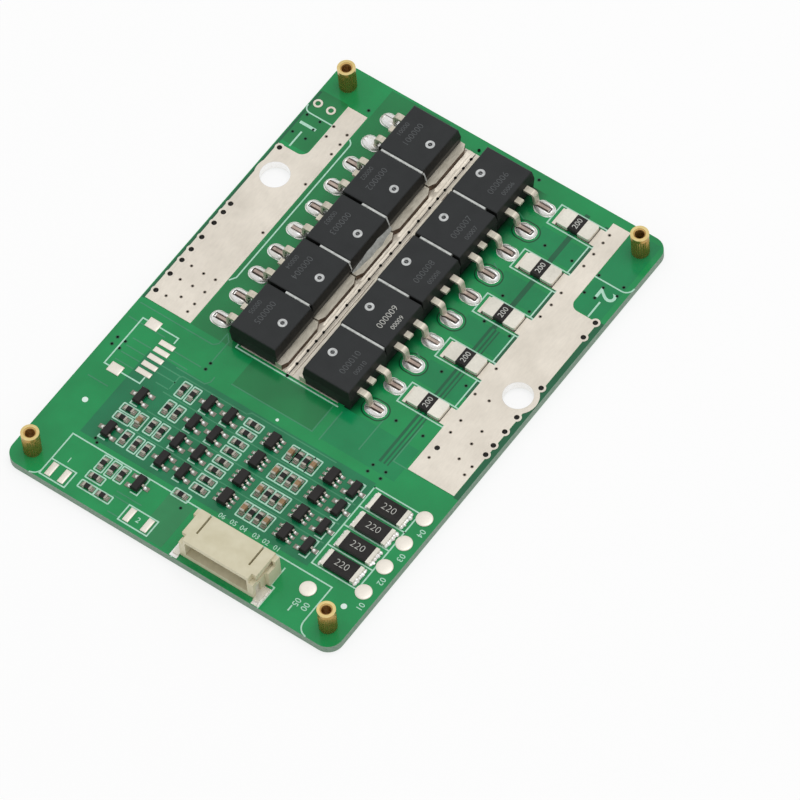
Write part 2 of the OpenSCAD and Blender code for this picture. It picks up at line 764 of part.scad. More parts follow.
module driver_leads_at() {
  for (s = [-1, 0, 1], m = [0, 1])
    mirror([m, 0, 0]) translate([0, s * small_lead_pitch, 0]) children();
}

module small_case(w, h) {
  translate([-w / 2, 0, 0])
    moulded_case(w, small_case_l, h, 0.05, h / 2, 0.1, 0.1, 0.05);
}

module transistor_cases() color([0.2, 0.19, 0.19])
  transistor_places() translate([0, 0, seat_z]) difference() {
    small_case(transistor_w, transistor_h);
    transistor_leads_at()
      small_lead_room(transistor_w / 2, transistor_h, transistor_lead_w);
  }

module transistor_leads() color([0.85, 0.84, 0.82])
  transistor_places() translate([0, 0, seat_z]) transistor_leads_at()
    small_lead(transistor_w / 2, transistor_h, transistor_lead_w);

module driver_cases() color([0.2, 0.18, 0.19])
  driver_places() translate([0, 0, seat_z]) difference() {
    small_case(driver_w, driver_h);
    driver_leads_at() small_lead_room(driver_w / 2, driver_h, driver_lead_w);
  }

module driver_leads() color([0.85, 0.84, 0.82])
  driver_places() translate([0, 0, seat_z]) driver_leads_at()
    small_lead(driver_w / 2, driver_h, driver_lead_w);

module small_lead_pads() color([0.86, 0.86, 0.82]) {
  transistor_places() transistor_leads_at() pad([small_span / 2 + 0.15, 0], [1, 0.8]);
  driver_places() driver_leads_at() pad([small_span / 2 + 0.1, 0], [0.8, 0.55]);
}

// ---- Plug socket: mouth towards the plug end of the board ----

module socket_nail_room(s) {
  x = socket_x + s * (socket_w / 2 - tab_slot[0] / 2);
  translate([x - tab_slot[0] / 2 - cut * (1 - s) / 2,
    socket_front_y + 0.55, seat_z - 1])
    cube([tab_slot[0] + cut, tab_slot[1], tab_slot[2] + 1]);
}

// Rail and corner post that stick out of the housing's side, far from the mouth
module socket_rail(x0, x1) {
  y = socket_back_y;
  translate([x0, 0, board_t]) rotate([90, 0, 90]) linear_extrude(x1 - x0)
    polygon([
      [y - socket_rail_l, 0], [y, 0], [y, socket_post_h], [y - socket_post_l, socket_post_h],
      [y - socket_post_l, socket_rail_h], [y - socket_rail_l, socket_rail_h]]);
}

module socket_housing() color([0.85, 0.81, 0.69]) {
  x0 = socket_x - socket_w / 2;
  x1 = socket_x + socket_w / 2;
  top = seat_z + socket_h;
  difference() {
    union() {
      block([x0, socket_front_y, board_t], [x1, socket_back_y, top]);
      socket_rail(x1 - 0.5, x1 + socket_rail_t);
      socket_rail(x0 - socket_rail_t, x0 + 0.5);
    }
    // mouth
    block([x0 + socket_side_wall, socket_front_y - 1, seat_z + socket_wall],
      [x1 - socket_side_wall, socket_back_y - socket_back_wall, top - socket_wall]);
    // slits in the roof
    for (i = [0, pins - 1])
      block([pin_x(i) - 0.05 - slit_w / 2, socket_back_y - slit_l, top - socket_wall - 1],
        [pin_x(i) - 0.05 + slit_w / 2, socket_back_y + 1, top + 1]);
    for (s = [-1, 1]) {
      // steps at the front corners
      translate([socket_x + s * socket_w / 2, socket_front_y, top])
        cube([2 * socket_notch[0], 2 * socket_notch[1], 2 * socket_notch[2]],
          center = true);
      // shallow recess along each side
      translate([socket_x + s * socket_w / 2,
        (socket_front_y + socket_back_y) / 2 + 0.15, top - 1.35])
        cube([0.5, socket_depth - 1.9, 1.1], center = true);
      socket_nail_room(s);
    }
    // holes for the pins
    for (i = [0:pins - 1])
      translate([pin_x(i), socket_back_y - socket_back_wall / 2, seat_z + pin_z])
        cube([pin_side, socket_back_wall + 1, pin_side], center = true);
  }
}

// A pin: straight inside the socket, down behind it and back along the board
module socket_pin() {
  inner_l = socket_depth - socket_back_wall - 1.2;
  back = socket_back_wall + 0.05; // where the pin turns down
  translate([0, -socket_back_wall, 0]) {
    block([-pin_side / 2, -inner_l, pin_z - pin_side / 2],
      [pin_side / 2, back, pin_z + pin_side / 2]);
    block([-pin_side / 2, back, 0], [pin_side / 2, back + pin_tail_t, pin_z + pin_side / 2]);
    block([-pin_side / 2, back, 0], [pin_side / 2, back + pin_tail_l, pin_tail_t]);
  }
}

module socket_pins() color([0.8, 0.78, 0.7])
  for (i = [0:pins - 1]) translate([pin_x(i), socket_back_y, seat_z]) socket_pin();

// Pads under the nails' feet and the pins' tails
module socket_pads() color([0.84, 0.84, 0.8]) {
  for (s = [-1, 1])
    pad([socket_x + s * (socket_w / 2 + 0.72), socket_front_y + 0.85], [1.4, 3.7]);
  for (i = [0:pins - 1])
    pad([pin_x(i), socket_back_y + pin_tail_l / 2 + 0.25], [1, pin_tail_l + 0.4]);
}

// Solder nails in the side slots, with a foot on the board
module socket_nails() color([0.86, 0.86, 0.85]) {
  foot_l = 1.1;
  for (s = [-1, 1]) translate([socket_x + s * socket_w / 2, 0, 0])
    mirror([s < 0 ? 1 : 0, 0, 0]) {
      block([-tab_slot[0], socket_front_y + 0.55, seat_z],
        [-tab_slot[0] + nail_t, socket_front_y + 0.55 + tab_slot[1], seat_z + tab_slot[2]]);
      block([-tab_slot[0], socket_front_y + 0.55, seat_z],
        [foot_l, socket_front_y + 0.55 + tab_slot[1], seat_z + nail_t]);
      block([0, socket_front_y - 0.4, seat_z],
        [foot_l, socket_front_y + 2.3, seat_z + nail_t]);
    }
}

// ---- Standoffs ----

module knurl_outline() {
  r = standoff_d / 2;
  step = 360 / knurl_count;
  polygon([for (i = [0:knurl_count - 1], k = [0, 1])
    let (a = (i + k / 2) * step, d = r - 0.02 - k * knurl_depth)
      [d * cos(a), d * sin(a)]]);
}

module standoff(i) color([0.78, 0.62, 0.32]) {
  collar = standoff_h * 0.16;
  p = standoff_places[i];
  translate([p[0], p[1], 0]) difference() {
    union() {
      cylinder(d = shank_d, h = board_t);
      translate([0, 0, board_t]) linear_extrude(standoff_h - collar) knurl_outline();
      translate([0, 0, board_t + standoff_h - collar - cut])
        cylinder(d = standoff_d, h = collar + cut);
    }
    translate([0, 0, -1]) cylinder(r = standoff_bore_r, h = board_t + standoff_h + 2);
    translate([0, 0, board_t + standoff_h - 0.2])
      cylinder(r1 = standoff_bore_r, r2 = standoff_bore_r + 0.25, h = 0.25);
  }
}

circuit_board();
pack_pad();
battery_pad();
plated_rings();
wire_pads();
drain_pad();
lead_solder();
shunt_pads();
spare_pads();
chip_pads();
small_lead_pads();
for (i = [0:rows - 1]) {
  in_left_row(i) mosfet_case();
  in_left_row(i) mosfet_frame();
  in_right_row(i) mosfet_case();
  in_right_row(i) mosfet_frame();
  shunt_resistor(i);
}
gap_sealant();
shunt_terminals();
for (k = [0:channels - 1])
  balance_resistor(k);
balance_terminals();
transistor_cases();
transistor_leads();
driver_cases();
driver_leads();
chip_resistors();
chip_capacitors();
chip_terminals();
socket_housing();
socket_pads();
socket_pins();
socket_nails();
for (i = [0:3])
  standoff(i);
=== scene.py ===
"""Looks of the battery management board.

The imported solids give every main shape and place. This script adds what lies on
them: solder mask, print, solder, small holes, numbers, materials, floor, lamps
and camera. Lengths are millimetres until a piece is finished, then metres.
"""

import json
import math
import random

import bmesh
import bpy
from mathutils import Matrix, Vector, noise


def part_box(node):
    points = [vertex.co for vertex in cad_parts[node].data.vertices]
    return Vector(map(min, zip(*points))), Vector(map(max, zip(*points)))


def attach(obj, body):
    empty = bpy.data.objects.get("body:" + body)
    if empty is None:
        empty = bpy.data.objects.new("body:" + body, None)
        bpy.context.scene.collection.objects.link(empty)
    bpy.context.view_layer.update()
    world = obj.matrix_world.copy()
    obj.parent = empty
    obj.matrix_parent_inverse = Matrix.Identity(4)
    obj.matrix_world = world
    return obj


MM = 0.001
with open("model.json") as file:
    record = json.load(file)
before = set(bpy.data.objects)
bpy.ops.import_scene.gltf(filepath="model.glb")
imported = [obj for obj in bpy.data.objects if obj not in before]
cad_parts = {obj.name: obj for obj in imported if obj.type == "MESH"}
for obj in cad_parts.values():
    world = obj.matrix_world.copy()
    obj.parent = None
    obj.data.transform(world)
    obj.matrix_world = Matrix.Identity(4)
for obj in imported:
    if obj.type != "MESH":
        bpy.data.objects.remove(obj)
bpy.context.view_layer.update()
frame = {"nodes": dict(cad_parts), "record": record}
scene = bpy.context.scene
NODES = frame["nodes"]


# ---- Places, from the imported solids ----


def box_of(node):
    """Lowest and highest corner of a node."""
    low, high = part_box(node)
    return low / MM, high / MM


def middle(box):
    return (box[0] + box[1]) / 2


def solids_of(node):
    """Box of each separate solid of a node, from the plug end up."""
    bm = bmesh.new()
    bm.from_mesh(NODES[node].data)
    bmesh.ops.remove_doubles(bm, verts=bm.verts, dist=0.001 * MM)
    waiting = set(bm.verts)
    found = []
    for start in bm.verts:
        if start not in waiting:
            continue
        waiting.remove(start)
        edge = [start]
        low = start.co.copy()
        high = low.copy()
        while edge:
            v = edge.pop()
            for k in range(3):
                low[k] = min(low[k], v.co[k])
                high[k] = max(high[k], v.co[k])
            for e in v.link_edges:
                other = e.other_vert(v)
                if other in waiting:
                    waiting.remove(other)
                    edge.append(other)
        found.append((low / MM, high / MM))
    bm.free()
    return sorted(found, key=lambda b: (round(b[0].y, 2), round(b[0].x, 2)))


TOP = box_of("circuit_board")[1].z  # upper face of the laminate
SEAT = box_of("drain_pad")[1].z  # upper face of the tinned copper
ROWS = range(1, 6)
left_cases = [box_of(f"left_mosfet_case_{i}") for i in ROWS]
right_cases = [box_of(f"right_mosfet_case_{i}") for i in ROWS]
CASE_TOP = left_cases[0][1].z  # upper face of the power transistors
left_frames = [box_of(f"left_mosfet_frame_{i}") for i in ROWS]
right_frames = [box_of(f"right_mosfet_frame_{i}") for i in ROWS]
drain_pad = box_of("drain_pad")
shunts = [box_of(f"shunt_resistor_{i}") for i in ROWS]
balancers = [box_of(f"balance_resistor_{i}") for i in range(1, 5)]
standoffs = [box_of(f"standoff_{i}") for i in range(1, 5)]
wire_pads = solids_of("wire_pads")
foot_ovals = solids_of("lead_solder")
plated_rings = solids_of("plated_rings")
chip_resistors = solids_of("chip_resistors")
chip_capacitors = solids_of("chip_capacitors")
chip_ends = solids_of("chip_terminals")
small_cases = solids_of("transistor_cases")
small_leads = solids_of("transistor_leads")
driver_cases = solids_of("driver_cases")
driver_leads = solids_of("driver_leads")
spare_pads = solids_of("spare_pads")

BUS_X = (left_frames[2][1].x + right_frames[2][0].x) / 2  # between the two rows' tabs

# Thin layers over the laminate, each a little above the one before
ZONE_T, BAND_T, PAINTED_SHADE_T, TRACK_T = 0.005, 0.007, 0.010, 0.012
MOAT_T, MASK_RIM_T, MOAT_FLOOR_T, MASK_VIA_T, PRINT_T = 0.014, 0.016, 0.017, 0.02, 0.03
PRINT_Z = TOP + PRINT_T
PRINT_W = 0.24


# ---- Shader nodes as expressions ----


def ink(code):
    """Linear colour of a hex code."""
    parts = [int(code[k : k + 2], 16) / 255 for k in (1, 3, 5)]
    low, knee, power = 12.92, 0.04045, 2.4
    return tuple(
        c / low if c <= knee else ((c + 0.055) / 1.055) ** power for c in parts
    ) + (1.0,)


class Wire:
    """A socket of a material's nodes that takes part in arithmetic."""

    def __init__(self, finish, socket):
        self.finish = finish
        self.socket = socket

    def _with(self, operation, *values):
        return self.finish.node("Math", {"operation": operation}, *values)

    def __add__(self, other):
        return self._with("ADD", self, other)

    def __radd__(self, other):
        return self._with("ADD", other, self)

    def __sub__(self, other):
        return self._with("SUBTRACT", self, other)

    def __rsub__(self, other):
        return self._with("SUBTRACT", other, self)

    def __mul__(self, other):
        return self._with("MULTIPLY", self, other)

    def __gt__(self, other):
        return self._with("GREATER_THAN", self, other)

    def __lt__(self, other):
        return self._with("LESS_THAN", self, other)


class Finish:
    """A material under construction."""

    def __init__(self, name, **constants):
        self.material = bpy.data.materials.new(name)
        self.material.use_nodes = True
        self.tree = self.material.node_tree
        self.shader = self.tree.nodes["Principled BSDF"]
        for key, value in constants.items():
            self.shader.inputs[key.replace("_", " ")].default_value = value
        self.place = self.node("TexCoord", {}, out="Object")

    def node(self, kind, settings, *values, out=0, **named):
        """A node of a kind: its settings, then the values or links of its sockets."""
        made = self.tree.nodes.new("ShaderNode" + kind)
        for key, value in settings.items():
            setattr(made, key, value)
        pairs = list(enumerate(values)) + [
            (key.replace("_", " "), value) for key, value in named.items()
        ]
        for key, value in pairs:
            self.feed(made.inputs[key], value)
        return Wire(self, made.outputs[out])

    def feed(self, target, value):
        """Links a wire to an input, or sets the input's own value."""
        if isinstance(value, Wire):
            self.tree.links.new(value.socket, target)
        else:
            target.default_value = value

    def noise(self, size, detail=2.0, rough=0.5, place=None):
        """Noise from 0 to 1 whose lumps are about size millimetres across."""
        return self.node(
            "TexNoise", {}, Vector=place or self.place, Scale=1 / (size * MM),
            Detail=detail, Roughness=rough,
        )

    def stretched(self, x, y, z):
        """The place with each axis multiplied."""
        return self.node(
            "VectorMath", {"operation": "MULTIPLY"}, self.place, (x, y, z)
        )

    def axis(self, letter):
        """One coordinate of the place, in millimetres."""
        parts = self.node("SeparateXYZ", {}, self.place, out=letter)
        return parts * (1 / MM)

    def size_of(self, wire):
        """The value without its sign."""
        return self.node("Math", {"operation": "ABSOLUTE"}, wire)

    def mix(self, share, first, second):
        """Colour between two colours."""
        made = self.tree.nodes.new("ShaderNodeMix")
        made.data_type = "RGBA"
        for key, value in (("Factor", share), ("A", first), ("B", second)):
            fitting = [
                s for s in made.inputs
                if s.name == key and s.type == ("VALUE" if key == "Factor" else "RGBA")
            ]
            self.feed(fitting[0], value)
        result = [s for s in made.outputs if s.type == "RGBA"][0]
        return Wire(self, result)

    def spread(self, wire, low, high, to_low=0.0, to_high=1.0):
        """Maps low..high to to_low..to_high and holds it there."""
        return self.node(
            "MapRange", {"clamp": True}, wire, low, high, to_low, to_high
        )

    def colour(self, value):
        """Base colour, a wire or a plain colour."""
        self.feed(self.shader.inputs["Base Color"], value)

    def toned(self):
        """The wire that feeds the base colour so far."""
        return Wire(self, self.shader.inputs["Base Color"].links[0].from_socket)

    def rough(self, value):
        """Roughness, a wire or a number."""
        self.feed(self.shader.inputs["Roughness"], value)

    def bump(self, height, depth):
        """Relief whose full height is depth millimetres."""
        made = self.node(
            "Bump", {}, Strength=1.0, Distance=depth * MM, Height=height
        )
        self.feed(self.shader.inputs["Normal"], made)


# ---- Finishes ----

MASK_TONE = "#10904f"
MASK_PALE, MASK_DEEP = 1.12, 0.88  # cloudy share of a mask's tone
MASK_ROUGH = 0.16


def mask_finish(name, tone):
    """Glossy solder mask of one tone, slightly cloudy."""
    finish = Finish(name, Roughness=MASK_ROUGH, Specular_IOR_Level=0.5)
    base = ink(tone)
    cloud = finish.spread(finish.noise(7, 3), 0.3, 0.7)
    pale = tuple(c * MASK_PALE for c in base[:3]) + (1,)
    deep = tuple(c * MASK_DEEP for c in base[:3]) + (1,)
    finish.colour(finish.mix(cloud, deep, pale))
    finish.rough(finish.spread(finish.noise(2.5, 2), 0.3, 0.7, 0.13, 0.2))
    finish.bump(finish.noise(1.3, 2), 0.004)
    return finish


def laminate_finish():
    """Solder mask on both faces, cut glass-epoxy between them."""
    finish = mask_finish("laminate_mask", MASK_TONE)
    height = finish.axis("Z")
    skin = 0.03
    core = (height < TOP - skin) * (height > skin)
    fibre = finish.noise(0.5, 4, 0.7, finish.stretched(1, 1, 3))
    cut = finish.mix(
        finish.spread(fibre, 0.3, 0.7), ink("#66806e"), ink("#93a996")
    )
    finish.colour(finish.mix(core, finish.toned(), cut))
    finish.rough(MASK_ROUGH + core * 0.5)
    return finish.material


# The small parts lie left of and below these lines, apart from the socket's corner
CHIPS_TO_X, CHIPS_TO_Y = 19.3, -15
SOCKET_FROM_X, SOCKET_TO_Y = 0, -36


def among_chips(finish):
    """1 in the area of the small parts, 0 elsewhere."""
    x, y = finish.axis("X"), finish.axis("Y")
    by_socket = (x > SOCKET_FROM_X) * (y < SOCKET_TO_Y)
    return (x < CHIPS_TO_X) * (y < CHIPS_TO_Y) * (1 - by_socket)


def tinned_finish(name, tone, deep, rough=0.45, metal=0.6, grain=(1, 1, 1), dull=None):
    """Levelled tin: broad tone changes, fine scratches, a soft sheen."""
    finish = Finish(name, Metallic=metal)
    broad = finish.noise(6, 3)
    fine = finish.noise(0.35, 3, 0.6, finish.stretched(*grain))
    share = finish.spread(broad * 0.7 + fine * 0.3, 0.35, 0.65)
    tin = finish.mix(share, ink(deep), ink(tone))
    finish.colour(finish.mix(among_chips(finish), tin, ink(dull)) if dull else tin)
    finish.rough(finish.spread(fine, 0.3, 0.7, rough - 0.06, rough + 0.08))
    finish.bump(broad * 0.6 + fine * 0.4, 0.015)
    return finish.material


def solder_finish(name, tone="#ffffff", deep="#efece6"):
    """Bright solder with a slightly wrinkled skin; flat pads of small parts are dull."""
    finish = Finish(name, Metallic=0.6)
    skin = finish.noise(0.9, 2, 0.5)
    bright = finish.mix(finish.spread(skin, 0.35, 0.65), ink(deep), ink(tone))
    flat = among_chips(finish) * (finish.axis("Z") < SEAT + 0.012)
    finish.colour(finish.mix(flat, bright, ink("#8f8b7f")))
    finish.rough(finish.spread(finish.noise(0.4, 2), 0.3, 0.7, 0.18, 0.34))
    finish.bump(skin, 0.008)
    return finish.material


TAB_END_X = 2.2  # the tabs' cut ends lie within this distance of BUS_X
FEET_FROM_X = 12  # the feet lie farther from BUS_X than this
FOOT_TOP = SEAT + 0.56
LEAD_Y = 2.54  # an outer lead's middle from its case's middle


def frame_finish():
    """Satin tinned copper: the tabs' cut ends are bare copper with painted shade, dull feet in the
    solder with painted shade along their sides.
    """
    finish = Finish("tinned_frame", Metallic=0.7)
    fine = finish.noise(0.3, 3, 0.6, finish.stretched(1, 0.25, 1))
    share = finish.spread(fine * 0.5 + finish.noise(2, 2) * 0.5, 0.35, 0.65)
    tin = finish.mix(share, ink("#c6bfae"), ink("#e2dbcb"))
    facing = finish.node("SeparateXYZ", {}, finish.node("TexCoord", {}, out="Normal"), out="X")
    sideways = finish.size_of(facing) > 0.6
    off_bus = finish.size_of(finish.axis("X") - BUS_X)
    cut = sideways * (off_bus < TAB_END_X)
    # The tabs' cut ends: the colour of bare copper with painted shade on it
    shaded_cut_copper = finish.mix(share, ink("#5c4a3b"), ink("#7d6857"))
    foot = (finish.axis("Z") < FOOT_TOP) * (off_bus > FEET_FROM_X)
    row = finish.axis("Y") - middle(left_frames[0]).y
    pitch = middle(left_frames[0]).y - middle(left_frames[1]).y
    from_row = finish.node("Math", {"operation": "PINGPONG"}, row, pitch / 2)
    aside = finish.size_of(from_row - LEAD_Y)
    # Painted shade along each foot's sides, where it sinks into the solder
    rim = finish.spread(aside, 0.2, 0.3)
    dull = finish.mix(rim, finish.mix(share, ink("#a18f86"), ink("#c9b8ac")), ink("#4d4239"))
    finish.colour(finish.mix(foot, finish.mix(cut, tin, shaded_cut_copper), dull))
    finish.rough(finish.spread(fine, 0.3, 0.7, 0.38, 0.5))
    finish.bump(fine, 0.012)
    return finish.material


CASE_EDGE = 0.12  # the flanks begin this far under a power transistor's top


def epoxy_finish(name, tone, deep, rough=0.5, grain=0.12, depth=0.012, flank=None):
    """Moulding compound with a fine eroded grain; painted shade darkens the big cases' flanks."""
    finish = Finish(name, Specular_IOR_Level=0.25)
    fine = finish.noise(grain, 3, 0.7)
    broad = finish.noise(3, 2)
    share = finish.spread(fine * 0.6 + broad * 0.4, 0.35, 0.65)
    face = finish.mix(share, ink(deep), ink(tone))
    # Painted shade: the big cases' flanks darker than their tops
    if flank:
        face = finish.mix(finish.axis("Z") < CASE_TOP - CASE_EDGE, face, ink(flank))
    finish.colour(face)
    finish.rough(finish.spread(broad, 0.3, 0.7, rough - 0.05, rough + 0.07))
    finish.bump(fine, depth)
    return finish.material


def plain_finish(name, tone, deep, rough=0.5, size=1.0, depth=0.01, shine=0.4):
    """Plastic, ink or ceramic with a light change of tone."""
    finish = Finish(name, Specular_IOR_Level=shine)
    cloud = finish.noise(size, 3)
    finish.colour(finish.mix(finish.spread(cloud, 0.3, 0.7), ink(deep), ink(tone)))
    finish.rough(finish.spread(cloud, 0.3, 0.7, rough + 0.06, rough - 0.06))
    finish.bump(cloud, depth)
    return finish.material


BORE_R = 1.03  # bore with its countersink
# Depth of the painted highlight at a standoff's top
TOP_HIGHLIGHT_DEEP = 0.08  # bright edge at a standoff's top
THREAD_TURN = 15.7  # radians for each millimetre


def brass_finish():
    """Turned brass: a painted highlight on the tops, painted shade on the barrels and in thread
    stripes inside the bores.
    """
    finish = Finish("brass", Metallic=0.85)
    skin = finish.noise(0.7, 2, 0.5)
    # Painted highlight and painted shade: one brass in a lit tone for the tops and a shaded tone
    # for the barrels
    rim = finish.mix(finish.spread(skin, 0.3, 0.7), ink("#ecd08a"), ink("#f4dd9e"))
    shaded_barrel = finish.mix(finish.spread(skin, 0.3, 0.7), ink("#b28d48"), ink("#c19d57"))
    tone = finish.mix(finish.axis("Z") < standoffs[0][1].z - TOP_HIGHLIGHT_DEEP, rim, shaded_barrel)
    away = []
    for letter, far in (("X", middle(standoffs[0]).x), ("Y", middle(standoffs[0]).y)):
        distance = finish.size_of(finish.axis(letter)) - abs(far)
        away.append(distance * distance)
    # Painted shade in the bore and its countersink, in light and dark stripes that stand in for the
    # thread
    inside = (away[0] + away[1]) < BORE_R ** 2
    turns = finish.node("Math", {"operation": "SINE"}, finish.axis("Z") * THREAD_TURN)
    bore = finish.mix(finish.spread(turns, -1, 1), ink("#a57a3c"), ink("#e8c480"))
    finish.colour(finish.mix(inside, tone, bore))
    finish.rough(finish.spread(finish.noise(0.8, 2), 0.3, 0.7, 0.24, 0.3) + inside * 0.25)
    finish.bump(skin, 0.0004)
    return finish.material


FINISHES = {
    "laminate": laminate_finish(),
    "tinned_copper": tinned_finish("tinned_copper", "#efe7da", "#ddd5c8", grain=(1, 0.25, 1)),
    "solder": solder_finish("solder"),
    "tinned_frame": frame_finish(),
    "tinned_ends": tinned_finish("tinned_ends", "#f0ece0", "#d8d4c8", 0.4, 0.6, dull="#b3aea2"),
    # The flank tone is painted shade
    "black_epoxy": epoxy_finish("black_epoxy", "#303233", "#252728", 0.5, flank="#1c1d1c"),
    "small_epoxy": epoxy_finish("small_epoxy", "#2b2827", "#1d1b1b", 0.48, 0.08, 0.006),
    "sealant": plain_finish("sealant", "#d6d8d5", "#b3b6b2", 0.5, 0.6, 0.03),
    "resistor_film": epoxy_finish("resistor_film", "#2a2726", "#1a1817", 0.3, 0.3, 0.004),
    "capacitor_ceramic": plain_finish("capacitor_ceramic", "#a58560", "#86694a", 0.55, 0.3),
    "ivory_nylon": plain_finish("ivory_nylon", "#ddd6ba", "#d2caac", 0.48, 2.0, 0.006),
    "brass": brass_finish(),
}
for part in frame["record"]["subparts"]:
    NODES[part["node"]].data.materials.clear()
    NODES[part["node"]].data.materials.append(FINISHES[part["material_slot"]])


# ---- Modelling helpers, in millimetres ----


def block(bm, low, high):
    """A box between two corners."""
    low, high = Vector(low), Vector(high)
    verts = bmesh.ops.create_cube(bm, size=1)["verts"]
    bmesh.ops.scale(bm, vec=high - low, verts=verts)
    bmesh.ops.translate(bm, vec=(low + high) / 2, verts=verts)


def thicken(bm, verts, rise):
    """Makes a flat sheet solid by lifting or lowering a copy of it."""
    faces = list(dict.fromkeys(f for v in verts if v.is_valid for f in v.link_faces))
    lifted = bmesh.ops.extrude_face_region(bm, geom=faces, use_keep_orig=True)["geom"]
    bmesh.ops.translate(
        bm, verts=[g for g in lifted if isinstance(g, bmesh.types.BMVert)], vec=(0, 0, rise))


def stroke(bm, points, width=PRINT_W, low=TOP, high=PRINT_Z, closed=False):
    """A printed line through points, mitred at its corners, square at its ends."""
    points = [Vector(p) for k, p in enumerate(points)
              if k == 0 or math.dist(p, points[k - 1]) > 0.01]
    if not closed:
        first = (points[0] - points[1]).normalized() * width / 2
        last = (points[-1] - points[-2]).normalized() * width / 2
        points = [points[0] + first, *points[1:-1], points[-1] + last]
    count = len(points)
    aside = []
    for k, here in enumerate(points):
        ways = []
        if closed or k > 0:
            ways.append((here - points[k - 1]).normalized())
        if closed or k < count - 1:
            ways.append((points[(k + 1) % count] - here).normalized())
        sides = [Vector((-w.y, w.x)) for w in ways]
        mean = (sides[0] + sides[-1]).normalized()
        aside.append(mean * width / 2 / max(0.4, mean.dot(sides[0])))
    runs = count if closed else count - 1
    verts = bmesh.ops.create_grid(bm, x_segments=runs, y_segments=1, size=1)["verts"]
    top = high + 0.001 * (len(bm.faces) % 5)  # crossing lines never share a plane
    for v in verts:
        k = round((v.co.x + 1) / 2 * runs) % count
        at = points[k] + aside[k] * (1 if v.co.y > 0 else -1)
        v.co = (at.x, at.y, low)
    bmesh.ops.remove_doubles(bm, verts=verts, dist=1e-5)
    thicken(bm, verts, top - low)


def frame_line(bm, x0, y0, x1, y1):
    """A printed rectangle."""
    stroke(bm, [(x0, y0), (x1, y0), (x1, y1), (x0, y1)], closed=True)


def disc(bm, x, y, radius, low, high, sides=16):
    """An upright cylinder."""
    made = bmesh.ops.create_cone(
        bm, cap_ends=True, segments=sides, radius1=radius, radius2=radius, depth=high - low
    )["verts"]
    bmesh.ops.translate(bm, vec=(x, y, (low + high) / 2), verts=made)
    return made


def ring(bm, x, y, inner, outer, low, high, sides=32):
    """A flat ring or a sleeve, spun from its cross-section."""
    start = len(bm.verts)
    outline = [bm.verts.new(p) for p in (
        (inner, 0, low), (outer, 0, low), (outer, 0, high), (inner, 0, high))]
    edges = [bm.edges.new((outline[k - 1], outline[k])) for k in range(4)]
    bmesh.ops.spin(
        bm, geom=outline + edges, cent=(0, 0, 0), axis=(0, 0, 1),
        angle=math.tau, steps=sides, use_merge=True,
    )
    bm.verts.ensure_lookup_table()
    bmesh.ops.translate(bm, vec=(x, y, 0), verts=bm.verts[start:])


def mound(bm, place, half_x, half_y, height, around, up):
    """A low closed dome on a flat oval base."""
    verts = bmesh.ops.create_uvsphere(bm, u_segments=around, v_segments=up, radius=1)["verts"]
    for v in verts:
        if v.co.z < 0:
            v.co.z = 0
    bmesh.ops.scale(bm, vec=(half_x, half_y, height), verts=verts)
    bmesh.ops.translate(bm, vec=place, verts=verts)
    return verts


def digits(bm, words, place, size, turn=0.0, thick=0.02, weight=0.0):
    """Plain figures, flat on a face, centred on a place."""
    curve = bpy.data.curves.new("figures", "FONT")
    curve.body = words
    curve.size = size
    curve.align_x = "CENTER"
    curve.align_y = "CENTER"
    curve.resolution_u = 3
    curve.extrude = thick / 2
    curve.offset = weight
    holder = bpy.data.objects.new("figures", curve)
    mesh = bpy.data.meshes.new_from_object(holder)
    mesh.transform(
        Matrix.Translation(Vector(place) + Vector((0, 0, thick / 2)))
        @ Matrix.Rotation(turn, 4, "Z")
    )
    bm.from_mesh(mesh)
    bpy.data.objects.remove(holder)
    bpy.data.curves.remove(curve)
    bpy.data.meshes.remove(mesh)


def finish_piece(bm, name, material, smooth=None):
    """Turns a millimetre mesh into a piece that rides on the board."""
    bmesh.ops.scale(bm, vec=(MM, MM, MM), verts=bm.verts)
    bmesh.ops.recalc_face_normals(bm, faces=bm.faces)
    mesh = bpy.data.meshes.new(name)
    bm.to_mesh(mesh)
    bm.free()
    if smooth is not None:
        for face in mesh.polygons:
            face.use_smooth = True
        mesh.set_sharp_from_angle(angle=math.radians(smooth))
    mesh.materials.append(material)
    made = bpy.data.objects.new(name, mesh)
    scene.collection.objects.link(made)
    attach(made, "root")


def mask_piece(bm, name, tone):
    """A thin piece of solder mask in its own tone."""
    finish_piece(bm, name, mask_finish(name, tone).material)


# ---- Small holes, sleeves and solder ----

BLACK = plain_finish("hole_shade", "#0d0f0b", "#060705", 0.7, shine=0.1)
SLEEVE = tinned_finish("hole_sleeve", "#b5aa9d", "#94897c", 0.5, 0.5)
WALL = tinned_finish("hole_wall", "#ffffff", "#efece6", 0.16, 0.95)

# Small filled holes: on the pack pad, on the battery pad, in the mask
PACK_VIAS = [
    (-25.65, 33.75), (-22.9, 33.6), (-25.5, 31.55), (-22.75, 31.5), (-22.8, 29.25),
    (-22.8, 22.3), (-22.9, 11.1), (-28.5, -0.25), (-26.05, -0.35), (-23.8, -0.25),
    (-28.45, -3.3), (-26.1, -3.2), (-23.8, -3.05), (-26.35, -5.85), (-23.8, -5.75),
    (-28.45, -7.0), (-23.85, -7.5)]
BATTERY_VIAS = [
    (22.75, 41.2), (22.75, 39.45), (22.75, 36.9), (22.75, 34.2), (22.75, 28.1),
    (22.75, 25.4), (22.6, 22.65), (22.55, 10.9), (22.55, 5.25), (25.1, 5.45),
    (23.55, 0.05), (27.45, 0.25), (23.5, -2.6), (27.45, -2.5), (27.45, -5.8),
    (29.95, -5.85), (29.85, -7.7), (23.45, -8.2)]
